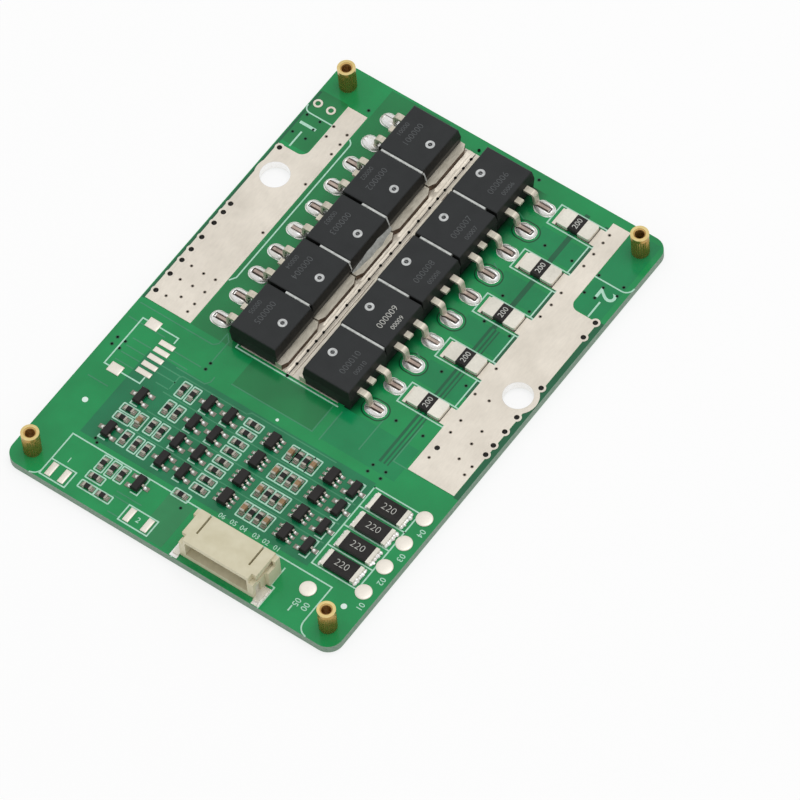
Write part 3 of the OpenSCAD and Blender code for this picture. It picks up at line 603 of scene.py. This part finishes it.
MASK_VIAS = [
    (-22.9, 39.4), (-30.6, 33.3), (-28.05, 33.3), (-28.05, 31.5), (-30.6, 29.4),
    (-28.05, 29.4), (-15.1, -13.2), (-15.1, -14.5), (-30.15, -17.4),
    (-28.65, -17.4), (-30.15, -18.9), (-28.7, -18.9), (-21.7, -34.3),
    (-21.0, -34.85), (-3, -37.15), (25.7, 34.15), (30.25, 34.45), (27.6, 32.6),
    (30.3, 32.5), (25.65, 30.25), (27.6, 30.3), (15.4, 34.0), (20.6, 34.0),
    (15.4, 22.6), (20.6, 22.5), (15.8, 17.1), (20.7, 17.05), (15.75, 5.75),
    (20.45, 5.75), (15.2, -5.55), (20.3, -5.5), (17.0, -14.1), (19.45, -14.1),
    (17.0, -15.5), (19.45, -15.5), (7.4, 43.65)]
# The row of holes along the strip between the transistors
VIA_ROW_X = BUS_X - 0.12
VIA_ROW_Y = [
    42.9, 40.8, 38.7, 36.5, 33.7, 31.7, 29.55, 26.55, 24.0, 21.6, 19.15, 16.4,
    13.35, 10.75, 7.4, 4.65, 1.3, -0.7, -2.85, -5.75, -8.35]

PAD_VIA_R, MASK_VIA_R, ROW_VIA_R = 0.2, 0.22, 0.25

bm = bmesh.new()
for x, y in PACK_VIAS + BATTERY_VIAS:
    disc(bm, x, y, PAD_VIA_R, SEAT, SEAT + 0.006)
for x, y in MASK_VIAS:
    disc(bm, x, y, MASK_VIA_R, TOP, TOP + MASK_VIA_T)
    disc(bm, x, y, MASK_VIA_R, -MASK_VIA_T, 0)
for y in VIA_ROW_Y:
    disc(bm, VIA_ROW_X, y, ROW_VIA_R, SEAT, SEAT + 0.15)
finish_piece(bm, "small_holes", BLACK)

bm = bmesh.new()
for x, y in PACK_VIAS + BATTERY_VIAS:
    ring(bm, x, y, 0.19, 0.3, SEAT, SEAT + 0.008, 16)
finish_piece(bm, "small_hole_rims", SLEEVE)

bm = bmesh.new()
for x, y in MASK_VIAS:
    ring(bm, x, y, 0.2, 0.36, TOP, TOP + MASK_RIM_T, 16)
    ring(bm, x, y, 0.2, 0.36, -MASK_RIM_T, 0, 16)
finish_piece(bm, "masked_rims", mask_finish("mask_rims", "#236f49").material)

# Plated walls of the two wire holes
PLATING = 0.04
bm = bmesh.new()
for mount in frame["record"]["mounts"]:
    if mount["kind"] == "bore":
        x, y = mount["pos_m"][0] / MM, mount["pos_m"][1] / MM
        outer = mount["dims"]["r_mm"]
        ring(bm, x, y, outer - PLATING, outer, 0, SEAT, 64)
finish_piece(bm, "wire_hole_walls", WALL, 30)

# Solder round the transistors' feet: a bright ridge and a narrow groove, with painted shade lines
# in the groove
FOOT_FROM, FOOT_TO, FOOT_HALF = -0.85, 1.1, 0.375  # foot, along and across its oval
GROOVE_W, GROOVE_DEEP, FILLED_DEEP = 0.2, 0.62, 0.25  # depths are shares of the ridge
FILLED_SHARE = 0.12  # of the feet are buried in solder
rng = random.Random(11)
bm = bmesh.new()
painted_groove_shade = bmesh.new()
for low, high in foot_ovals:
    centre = middle((low, high))
    side = 1 if centre.x > BUS_X else -1
    half = (high - low) / 2
    verts = mound(bm, (0, 0, 0), 1, 1, 1, 44, 40)
    tall = rng.uniform(0.55, 0.68)
    lean = rng.uniform(-0.15, 0.0)
    filled = rng.random() < FILLED_SHARE
    for v in verts:
        x, y, z = v.co
        if z <= 0:
            continue
        along, across = x * half.x, abs(y) * half.y
        out = math.hypot(x, y)
        rim = min(1.0, 2.6 * (1 - out)) ** 0.55 if out < 1 else 0
        gap_x = max(FOOT_FROM - 0.5 - along, along - FOOT_TO, 0)
        gap_y = max(across - FOOT_HALF, 0)
        gap = math.hypot(gap_x, gap_y)
        groove = (FILLED_DEEP if filled else GROOVE_DEEP) * math.exp(-((gap / GROOVE_W) ** 2))
        v.co.z = tall * rim * (1 - groove) * (1 + lean * y)
    bmesh.ops.scale(bm, vec=(side * half.x * 0.98, half.y * 0.98, 1), verts=verts)
    bmesh.ops.translate(bm, vec=(centre.x, centre.y, SEAT), verts=verts)
    # Painted shade: dark strokes along the groove beside each foot that is not buried
    if not filled:
        edge = FOOT_HALF + 0.06
        path = [(FOOT_FROM, -edge), (FOOT_TO + 0.06, -edge), (FOOT_TO + 0.06, edge),
                (FOOT_FROM, edge)]
        stroke(painted_groove_shade, [(centre.x + side * a, centre.y + side * b) for a, b in path],
               0.1, SEAT, SEAT + 0.4)
finish_piece(bm, "foot_solder", FINISHES["solder"], 70)
finish_piece(painted_groove_shade, "foot_painted_groove_shade", plain_finish("painted_groove_shade", "#4f4438", "#2f2820", 0.35))

# Small bright dabs at the lead tips, dull ones at the chip ends
bm = bmesh.new()
for boxes, cases in ((small_leads, small_cases), (driver_leads, driver_cases)):
    for low, high in boxes:
        centre, half = middle((low, high)), (high - low) / 2
        case = min(cases, key=lambda box: (middle(box) - centre).length)
        away = 1 if centre.x > middle(case).x else -1
        tip = centre.x + away * (half.x - 0.12)
        mound(bm, (tip, centre.y, SEAT), half.y + 0.18, half.y + 0.12, 0.3, 12, 8)
finish_piece(bm, "lead_dabs", FINISHES["solder"], 50)
bm = bmesh.new()
for low, high in chip_ends:
    centre, half = middle((low, high)), (high - low) / 2
    mound(bm, (centre.x, centre.y, SEAT), half.x + 0.15, half.y + 0.12, 0.22, 8, 6)
finish_piece(bm, "chip_dabs", solder_finish("chip_solder", "#cbc6ba", "#a19c91"), 50)

# Rough solder at the outer ends of the balancing resistors
rng = random.Random(5)
bm = bmesh.new()
for low, high in solids_of("balance_terminals"):
    c, half = middle((low, high)), (high - low) / 2
    outward = 1 if c.x > middle(balancers[0]).x else -1
    edge = high.x if outward > 0 else low.x
    wide = 0.5 if outward > 0 else 0.32
    for k in range(6):
        y = c.y + (k - 2.5) * half.y * 0.31 + rng.uniform(-0.1, 0.1)
        mound(bm, (edge + outward * wide * rng.uniform(0.1, 0.4), y, SEAT),
              wide * rng.uniform(0.6, 1.1), half.y * rng.uniform(0.2, 0.42),
              rng.uniform(0.15, 0.55), 14, 10)
finish_piece(bm, "terminal_dabs", FINISHES["solder"], 50)

# Dark walls of the small plated holes
bm = bmesh.new()
for box in plated_rings:
    c = middle(box)
    ring(bm, c.x, c.y, 0.42, 0.45, 0.05, SEAT - 0.1, 24)
finish_piece(bm, "plated_hole_shade", plain_finish("barrel_shade", "#4b4640", "#2e2b27", 0.5))

# Levelled tin stands slightly proud on the round wire pads
bm = bmesh.new()
for box in wire_pads:
    c, half = middle(box), (box[1] - box[0]) / 2
    mound(bm, (c.x, c.y, SEAT), half.x * 0.97, half.y * 0.97, 0.12, 32, 12)
for box in spare_pads:
    c, half = middle(box), (box[1] - box[0]) / 2
    verts = mound(bm, (0, 0, 0), 1, 1, 1, 24, 10)
    for v in verts:
        stretch = max(abs(v.co.x), abs(v.co.y), 1e-6) / max(math.hypot(v.co.x, v.co.y), 1e-6)
        v.co.x /= stretch ** 0.8
        v.co.y /= stretch ** 0.8
    bmesh.ops.scale(bm, vec=(half.x * 0.97, half.y * 0.95, 0.07), verts=verts)
    bmesh.ops.translate(bm, vec=(c.x, c.y, SEAT), verts=verts)
finish_piece(bm, "pad_tin", tinned_finish("pad_tin", "#fbf4e8", "#efe8dc", 0.4, 0.4),
             40)


# ---- Strip between the transistor rows ----


def ribbon(bm, x0, x1, y0, y1, tall, low, seed):
    """A long bead of solder with soft waves: tall on its left, low on its right."""
    count = int((y1 - y0) / 0.4)
    verts = bmesh.ops.create_grid(bm, x_segments=8, y_segments=count, size=1)["verts"]
    for v in verts:
        across, along = (v.co.x + 1) / 2, (v.co.y + 1) / 2
        y = y0 + along * (y1 - y0)
        wave = noise.noise(Vector((seed * 7.3, y * 0.45, 0)))
        ripple = noise.noise(Vector((across * 0.8 + seed, y * 1.1, 5)))
        ends = min(1, (y - y0) / 0.5, (y1 - y) / 0.5)
        shape = min(1, across * 8, (1 - across) * 5) ** 0.5 if 0 < across < 1 else 0
        bead = tall + (low - tall) * across
        v.co.x = x0 + across * (x1 - x0) + 0.09 * wave * across + 0.25 * (1 - ends) * (0.5 - across)
        v.co.y = y
        v.co.z = SEAT + max(0, ends) ** 0.5 * shape * bead * (1 + 0.25 * wave + 0.3 * ripple)


bus_y0, bus_y1 = drain_pad[0].y + 0.15, drain_pad[1].y - 0.1
ROW_GAP, GROOVE_HALF = 0.13, 0.08  # beads and groove beside the row of holes
bm = bmesh.new()
for box, seed in zip(left_frames, range(5)):
    ribbon(bm, box[1].x - 0.05, VIA_ROW_X - 0.5, box[0].y - 0.12, box[1].y + 0.12,
           0.3, 0.12, seed)
ribbon(bm, left_frames[0][1].x - 0.4, VIA_ROW_X - ROW_GAP, bus_y0, bus_y1, 0.1, 0.16, 20)
ribbon(bm, VIA_ROW_X + ROW_GAP, VIA_ROW_X + 0.78, bus_y0, bus_y1, 0.12, 0.2, 22)
BUS_TIN = tinned_finish("bus_tin", "#f3eadb", "#ddd3c2", 0.42, 0.4, (1, 0.4, 1))
finish_piece(bm, "bus_solder", BUS_TIN, 60)
bm = bmesh.new()
block(bm, (VIA_ROW_X - GROOVE_HALF, bus_y0, SEAT),
      (VIA_ROW_X + GROOVE_HALF, bus_y1, SEAT + 0.012))
finish_piece(bm, "bus_groove", plain_finish("groove_shade", "#4a4438", "#2e2b24", 0.6))


# ---- Pale sheets on the left row's tab side and down the gaps between its cases ----


def sheet(bm, left, right, drop):
    """A thin closed sheet between two lines of points."""
    count = len(left) - 1
    verts = bmesh.ops.create_grid(bm, x_segments=count, y_segments=1, size=1)["verts"]
    for v in verts:
        v.co = (right if v.co.y < 0 else left)[round((v.co.x + 1) / 2 * count)]
    thicken(bm, verts, -drop)


WALL_X = left_frames[2][1].x - 1.3  # tab-side wall of a left case at its parting line
PARTING, TAB_Z = SEAT + 2.65, SEAT + 1.27
LEAF_TALL, LEAF_OUT = 1.1, 0.62
bm = bmesh.new()
left, right = [], []
top_y, low_y = left_cases[2][1].y + 0.6, left_cases[2][0].y + 0.1
for k in range(25):
    u = k / 24
    leaf = math.sin(math.pi * u ** 0.8) ** 0.8 if 0 < u < 1 else 0
    leaf *= 1 + 0.12 * math.sin(u * 23)
    y = top_y + (low_y - top_y) * u
    z = TAB_Z + 0.25 + LEAF_TALL * leaf
    left.append((WALL_X - (PARTING - z) * 0.2 - 0.02, y, z))
    right.append((WALL_X + 0.02 + LEAF_OUT * leaf, y, TAB_Z + 0.05))
sheet(bm, left, right, 0.05)
for cases, wide, reach in ((0, 0.28, 0.4), (1, 0.34, 1.0), (2, 0.3, 0.4)):
    gap_y = (left_cases[cases][0].y + left_cases[cases + 1][1].y) / 2
    path = [(WALL_X - 0.5, SEAT + 4.5), (WALL_X - 0.3, SEAT + 4.0), (WALL_X + 0.03, PARTING),
            (WALL_X - 0.1, PARTING - 0.7), (WALL_X - 0.15, TAB_Z + 0.1)]
    path = path[: 3 + round(reach * 2)]
    sides = []
    for way in (1, -1):
        sides.append([
            (x, gap_y + way * wide / 2 * (1 - k / 7) + 0.03 * math.sin(3 * k + cases), z)
            for k, (x, z) in enumerate(path)])
    sheet(bm, *sides, 0.12)
finish_piece(bm, "pale_runs", FINISHES["sealant"], 40)


# ---- Solder mask: copper areas, moats and tracks under it ----

# Copper areas by tone: beside the left feet and in the centre, on the right side,
# among the small parts, beside the socket
MASK_ZONES = {
    "mask_pour": ("#187c44", [
        (-10, -14.4, 5.5, -8.9), (-22, -9, -10.5, 44.6), (-31.5, 27.2, -26.2, 38.5)]),
    "mask_field": ("#0c864f", [
        (7.2, -14.8, 21.5, -8), (13, 36.9, 21.2, 32.4), (13, 26.8, 21.2, 22.4),
        (13, 16.8, 21.2, 12.4), (13, 6.7, 21.2, 2.3), (25.5, 27, 30.8, 44)]),
    "mask_channels": ("#147a4e", [(-24.5, -34.6, 19.4, -16.6)]),
    "mask_plug": ("#2a8450", [(-6, -44.6, -1.2, -36)]),
}
for name, (tone, areas) in MASK_ZONES.items():
    bm = bmesh.new()
    for x0, y0, x1, y1 in areas:
        block(bm, (x0, min(y0, y1), TOP), (x1, max(y0, y1), TOP + ZONE_T))
    mask_piece(bm, name, tone)


def around_foot(bm, box, grow, low, high):
    """A flat oval that is wider than a foot's solder by grow."""
    c, half = middle(box), (box[1] - box[0]) / 2
    straight = half.x - half.y
    for v in disc(bm, 0, 0, 1, low, high, 40):
        shift = straight * (1 if v.co.x > 0 else -1)
        v.co.x = v.co.x * (half.y + grow) + shift + c.x
        v.co.y = v.co.y * (half.y + grow) + c.y


# Every second foot of the right row has a narrow moat round it
MOAT_OUT, MOAT_IN = 0.55, 0.33
bm = bmesh.new()
inner = bmesh.new()
for box in [b for b in foot_ovals if middle(b).x > BUS_X][::2]:
    around_foot(bm, box, MOAT_OUT, TOP, TOP + MOAT_T)
    around_foot(inner, box, MOAT_IN, TOP, TOP + MOAT_FLOOR_T)
mask_piece(bm, "mask_moats", "#0b4a2a")
mask_piece(inner, "mask_moat_floor", MASK_TONE)

# Painted shade and painted reflection: the mask is darkened beside the right row, under the leads,
# where the cases shade it and are mirrored in it
PAINTED_SHADE_REACH = 2.4
shade = mask_finish("mask_painted_shade", MASK_TONE)
case_end = right_cases[2][1].x
near = shade.spread(shade.axis("X"), case_end - 0.3, case_end + PAINTED_SHADE_REACH)
# Painted shade, darkest at the case end and fading out over the reach
shade.colour(shade.mix(near, ink("#06351d"), shade.toned()))
bm = bmesh.new()
block(bm, (case_end - 1, right_cases[4][0].y, TOP),
      (case_end + PAINTED_SHADE_REACH, right_cases[0][1].y, TOP + PAINTED_SHADE_T))
finish_piece(bm, "mask_painted_shade", shade.material)

# Painted shadow: dark lines round the shunts' terminals
TERMINAL_SHADOW_W = 0.1
bm = bmesh.new()
for low, high in solids_of("shunt_terminals"):
    block(bm, (low.x - TERMINAL_SHADOW_W, low.y - TERMINAL_SHADOW_W, SEAT),
          (high.x + TERMINAL_SHADOW_W, high.y + TERMINAL_SHADOW_W, SEAT + 0.05))
finish_piece(bm, "terminal_shadows", plain_finish("terminal_shadow_tone", "#5b5245", "#3c352b", 0.4))

# Dark clearances: bands of bare laminate under the mask
DARK_BANDS = [
    (-31.6, -9.2, -31.15, 38.2), (30.8, -12, 31.75, 27), (21.3, 42.3, 21.95, 4),
    (17.3, 16.8, 18.2, 42.5), (17.2, -13, 17.7, 16.8), (18.1, -13, 18.45, 16.8),
    (18.8, -13, 19.05, 16.8)]
bm = bmesh.new()
for x0, y0, x1, y1 in DARK_BANDS:
    block(bm, (x0, min(y0, y1), TOP), (x1, max(y0, y1), TOP + BAND_T))
mask_piece(bm, "mask_clearances", "#17613f")

# Tracks that show through the mask, paler than the field
TRACK_W = 0.22
TRACKS = [
    [(-31, -10.2), (-16.9, -10.2), (-16.2, -9.5), (-16.2, -7.5)],
    [(-16.2, -7.2), (-15.1, -8.4), (-15.1, -13)],
    [(-22, -14.6), (-16, -14.6)],
    [(-10, -14.45), (5.5, -14.45), (5.5, -9)],
    [(-31, -13.3), (-24, -13.3)],
    [(-28, -16.2), (-24.6, -16.2)], [(-28, -17.8), (-24.6, -17.8)],
    [(-28, -19.2), (-24.6, -19.2)], [(-28, -20.8), (-24.6, -20.8)],
    [(-21.3, -16.2), (-17.5, -16.2)], [(-21.3, -17.8), (-17.5, -17.8)],
    [(-21.3, -19.2), (-17.5, -19.2)], [(-20, -20.8), (-17.8, -20.8)],
    [(-19, -16.8), (-13.6, -16.8), (-13, -16), (-13, -15)],
    [(-17.6, -20.5), (-17.6, -18), (-17.2, -17.6), (-4.8, -17.6), (-4.2, -17), (12, -17)],
    [(-18, -21.6), (19, -21.6)], [(-18, -25.8), (19, -25.8)], [(-18, -29.9), (19, -29.9)],
    [(-29.7, -25.6), (-26, -25.6)], [(7.3, -15), (7.3, -9)],
    [(13.5, -6), (13.5, -13)], [(19.2, -4), (19.2, -11.8), (21.9, -11.8)],
    [(-13, -40.2), (-8.4, -40.2)], [(-13, -41.1), (-10, -41.1)], [(-12, -43.9), (-9.8, -43.9)],
    [(-25.4, 10), (-21.2, 10)], [(8.4, 36.8), (12.6, 35)], [(10.8, 26.8), (13.4, 25.2)],
    [(10.5, 6.5), (13, 5)],
]
bm = bmesh.new()
for points in TRACKS:
    stroke(bm, points, TRACK_W, TOP, TOP + TRACK_T)
mask_piece(bm, "mask_tracks", "#3f8f66")


# ---- Print ----

PRINT = plain_finish("board_print", "#bfe6d2", "#a6d6be", 0.6, 0.4, 0.004)


def arc(x, y, radius, start, end, steps=8):
    """Points on a circle, angles in degrees."""
    turns = [math.radians(start + (end - start) * k / steps) for k in range(steps + 1)]
    return [(x + radius * math.cos(t), y + radius * math.sin(t)) for t in turns]


def soft_box(x, y, half_x, half_y, r=0.12):
    """Outline points of a rectangle with round corners."""
    points = []
    for start, way_x, way_y in ((0, 1, 1), (90, -1, 1), (180, -1, -1), (270, 1, -1)):
        points += arc(x + way_x * half_x - way_x * r, y + way_y * half_y - way_y * r, r,
                      start, start + 90, 3)
    return points


bm = bmesh.new()
CHIP_WIDE, CHIP_LONG = 0.72, 1.52
for box in chip_resistors + chip_capacitors:
    c, half = middle(box), (box[1] - box[0]) / 2
    wide, tall = (CHIP_WIDE, CHIP_LONG) if half.y > half.x else (CHIP_LONG, CHIP_WIDE)
    stroke(bm, soft_box(c.x, c.y, wide, tall), closed=True)

# Brackets on the lone-lead side of the three-lead transistors
BRACKET_X, BRACKET_Y, BRACKET_GAP = 0.85, 1.75, 0.55
for box in small_cases:
    c = middle(box)
    near = [b for b in small_leads if abs(middle(b).y - c.y) < 0.2 and abs(middle(b).x - c.x) < 2]
    side = 1 if middle(near[0]).x > c.x else -1
    x, y0, y1 = c.x + side * BRACKET_X, c.y - BRACKET_Y, c.y + BRACKET_Y
    stroke(bm, [(x, y1), (x, c.y + BRACKET_GAP)])
    stroke(bm, [(x, c.y - BRACKET_GAP), (x, y0), (x - side * 1.2, y0)])
    if side > 0:
        stroke(bm, [(x, y1), (x - side * 0.6, y1)])

# Shunts and the line beside the battery pad
SHUNT_X, SHUNT_HALF, PAD_LINE_X = (13.15, 21.9), 2.05, 21.3
for box in shunts:
    c = middle(box)
    frame_line(bm, SHUNT_X[0], c.y - SHUNT_HALF, SHUNT_X[1], c.y + SHUNT_HALF)
for upper, lower in zip(shunts, shunts[1:]):
    stroke(bm, [(PAD_LINE_X, middle(upper).y - SHUNT_HALF),
                (PAD_LINE_X, middle(lower).y + SHUNT_HALF)])

# Balancing resistors
BALANCE_X, BALANCE_Y = (19.65, 28.3), [-17.25, -21.35, -25.4, -29.65, -33.75]
for y in BALANCE_Y:
    stroke(bm, [(x, y) for x in BALANCE_X])
for x in BALANCE_X:
    stroke(bm, [(x, BALANCE_Y[0]), (x, BALANCE_Y[-1])])

# Edge of the power part, and the pocket round the plug end
stroke(bm, [(-22, 33.1), *arc(-22.35, 32.1, 1, 45, 0, 4), (-21.35, 2), (-22, 1)])
stroke(bm, [(-30.5, 33.8), (-26, 33.8)])
stroke(bm, arc(-30.5, 34.9, 1.1, 270, 180, 6))
stroke(bm, [(25.4, 33.65), (30.4, 33.65), *arc(30.4, 35.05, 1.4, 270, 360, 6)])
stroke(bm, [(-13.6, -8.0), (-13.6, -8.55), (6.1, -8.55)])
stroke(bm, [(-26.5, -44.95), *arc(-26.6, -43.4, 1.5, 290, 360, 6), (-25.1, -35.6),
            (24.9, -35.6), (24.9, -42.9), *arc(27, -42.9, 2.1, 180, 240, 5), (26.6, -44.95)])

# Empty footprints
stroke(bm, [(-25.6, -12.3), (-22.05, -12.3), (-22.05, -13.4)])
stroke(bm, [(-28.1, -12.3), (-29, -12.3), (-29, -22.4), (-28.1, -22.4)])
stroke(bm, [(-25.6, -22.4), (-22.05, -22.4), (-22.05, -21.1)])
frame_line(bm, -25.1, -44.3, -20.25, -41.1)
frame_line(bm, -9.9, -44.2, -4.3, -41.1)

# Plug socket
stroke(bm, [(1.05, -42), (1.05, -44.9)])
stroke(bm, [(16.85, -36.9), (16.85, -40.5), (17.6, -40.6), (17.6, -44.9)])
finish_piece(bm, "print_lines", PRINT)

bm = bmesh.new()
disc(bm, -0.2, -15.8, 0.28, TOP, PRINT_Z)
for x, y in ((28.4, -37.3), (-27.35, -29.55)):
    disc(bm, x, y, 0.5, TOP, PRINT_Z, 24)
finish_piece(bm, "print_dots", plain_finish("dot_print", "#ecfbf3", "#dbf3e7", 0.5, 0.5))


# ---- Numbers, all plain counts and values ----

SIDEWAYS = math.pi / 2
bm = bmesh.new()
for count, x in enumerate((3.2, 5.4, 7.3, 9.7, 11.6, 13.7), 1):
    digits(bm, f"0{7 - count}", (x, -34.75, TOP), 1.25, weight=0.01)
for count, box in enumerate(sorted(wire_pads, key=lambda b: b[0].y)[-4:], 1):
    c = middle(box)
    digits(bm, f"0{count}", (30.5, c.y - 2.4, TOP), 1.45, -SIDEWAYS, weight=0.01)
digits(bm, "05", (21.9, -40.75, TOP), 1.5, -SIDEWAYS, weight=0.01)
stroke(bm, [(21.7, -41.7), (21.7, -42.6)])
digits(bm, "00", (23.5, -40.7, TOP), 1.5, -SIDEWAYS, weight=0.01)
digits(bm, "2", (-7.1, -42.65, TOP), 1.4, weight=0.01)
digits(bm, "1", (-22.6, -39.85, TOP), 1.4, weight=0.01)
for pad, x in (("1", -29.35), ("2", 28.75)):
    digits(bm, pad, (x, 31.6, TOP), 4.4, -SIDEWAYS, weight=0.05)
    stroke(bm, [(x, 30), (x, 27)], 0.3)
finish_piece(bm, "print_numbers", PRINT)

NUMBER = plain_finish("number_ink", "#cfcfc9", "#b4b4ae", 0.6)
bm = bmesh.new()
for box in balancers:
    c = middle(box)
    digits(bm, "220", (c.x, c.y, box[1].z), 1.75, weight=-0.03)
for box in shunts:
    c = middle(box)
    digits(bm, "200", (c.x, c.y, box[1].z), 1.35, SIDEWAYS)
finish_piece(bm, "resistor_numbers", NUMBER)

# Position numbers and mould rings on the transistors
LASER = plain_finish("laser_mark", "#585b5d", "#484b4d", 0.6)
RING_R, RING_IN, RING_BACK = 0.77, 0.36, 2.35  # the last is its distance from the tab end
RING_SUNK = 0.08
BRIGHTER_MARK = 9  # the transistor whose marking is brighter
bm, rings, marks, brighter_marks = (bmesh.new() for _ in range(4))
for side, cases in ((-1, left_cases), (1, right_cases)):
    for k, (low, high) in enumerate(cases, 1):
        c = middle((low, high))
        tab_x = high.x if side < 0 else low.x
        ring_x, sunk_z = tab_x + side * RING_BACK, high.z - RING_SUNK
        count = k + (5 if side > 0 else 0)
        turn = side * SIDEWAYS
        target = brighter_marks if count == BRIGHTER_MARK else bm
        for words, away, size, weight in (
                (f"{count:06d}", 5.8, 1.6, -0.02), (f"{count:05d}", 7.7, 1.15, -0.01)):
            digits(target, words, (tab_x + side * away, c.y, high.z), size, turn, 0.006, weight)
        digits(marks, str(count), (ring_x, c.y, sunk_z), 0.62, turn, 0.03)
        ring(rings, ring_x, c.y, RING_IN, RING_R, sunk_z, high.z - 0.02, 40)
finish_piece(bm, "case_numbers", LASER)
finish_piece(brighter_marks, "brighter_marks_numbers", NUMBER)
finish_piece(marks, "ring_numbers", plain_finish("ring_mark", "#9a9c9c", "#7c7e7e", 0.5))
finish_piece(rings, "case_rings", plain_finish("mould_ring", "#d9dbda", "#a9abab", 0.4, 0.5, 0.03),
             smooth=40)


# ---- Floor, lamps and camera ----

WHITE = (1, 1, 1, 1)
FLOOR_TONE = (0.95, 0.95, 0.95, 1)
FLOOR_GLOW, GLOW_SHARE = 1.02, 0.75  # what the camera sees of the floor
SKY_LIGHT, SKY_SEEN = 0.72, 1.0  # the surroundings as light, and before the camera
FLOOR_HALF, FLOOR_Z = 3, -0.0002
floor = Finish("floor", Roughness=0.9)
floor.colour(FLOOR_TONE)
rays = floor.tree.nodes.new("ShaderNodeLightPath")
seen = Wire(floor, rays.outputs["Is Camera Ray"]) + Wire(floor, rays.outputs["Is Glossy Ray"])
glow = floor.node("Emission", {}, Color=WHITE, Strength=FLOOR_GLOW)
both = floor.node(
    "MixShader", {}, floor.spread(seen, 0, 1, 0, GLOW_SHARE),
    Wire(floor, floor.shader.outputs[0]), glow,
)
floor.tree.links.new(both.socket, floor.tree.nodes["Material Output"].inputs["Surface"])
bm = bmesh.new()
bmesh.ops.create_grid(bm, x_segments=1, y_segments=1, size=FLOOR_HALF)
bmesh.ops.translate(bm, vec=(0, 0, FLOOR_Z), verts=bm.verts)
mesh = bpy.data.meshes.new("floor")
bm.to_mesh(mesh)
bm.free()
mesh.materials.append(floor.material)
ground = bpy.data.objects.new("floor", mesh)
scene.collection.objects.link(ground)

world = bpy.data.worlds.new("studio")
scene.world = world
world.use_nodes = True
sky = world.node_tree
back = sky.nodes["Background"]
back.inputs["Color"].default_value = WHITE
paths = sky.nodes.new("ShaderNodeLightPath")
level = sky.nodes.new("ShaderNodeMapRange")
sky.links.new(paths.outputs["Is Camera Ray"], level.inputs[0])
level.inputs["To Min"].default_value = SKY_LIGHT
level.inputs["To Max"].default_value = SKY_SEEN
sky.links.new(level.outputs[0], back.inputs["Strength"])


def lamp(name, place, power, size):
    """A soft square lamp that looks at the board's middle, in metres."""
    data = bpy.data.lights.new(name, "AREA")
    data.energy = power
    data.size = size
    made = bpy.data.objects.new(name, data)
    made.location = place
    made.rotation_euler = (-Vector(place)).to_track_quat("-Z", "Y").to_euler()
    scene.collection.objects.link(made)


lamp("key_lamp", (0.1, 0.25, 1.0), 2.2, 0.5)

# The camera's place round the board, and the point that it looks at
AROUND = math.radians(40.806)
ABOVE = math.radians(57.078)
ROLL = math.radians(-5.71)
DISTANCE = 1.2356
LOOK_AT = Vector((0.01278, -0.00134, 0))
LENS, SENSOR = 357.28, 36
right = Vector((math.cos(AROUND), math.sin(AROUND), 0))
up = Vector((
    -math.sin(AROUND) * math.sin(ABOVE), math.cos(AROUND) * math.sin(ABOVE),
    math.cos(ABOVE)))
back_way = right.cross(up)
tilt_right = right * math.cos(ROLL) + up * math.sin(ROLL)
tilt_up = up * math.cos(ROLL) - right * math.sin(ROLL)
eye = bpy.data.cameras.new("camera")
eye.lens = LENS
eye.sensor_width = SENSOR
eye.clip_start = 0.05
camera = bpy.data.objects.new("camera", eye)
turn = Matrix((tilt_right, tilt_up, back_way)).transposed().to_4x4()
camera.matrix_world = Matrix.Translation(LOOK_AT + back_way * DISTANCE) @ turn
scene.collection.objects.link(camera)
scene.camera = camera

scene.view_settings.view_transform = "Standard"
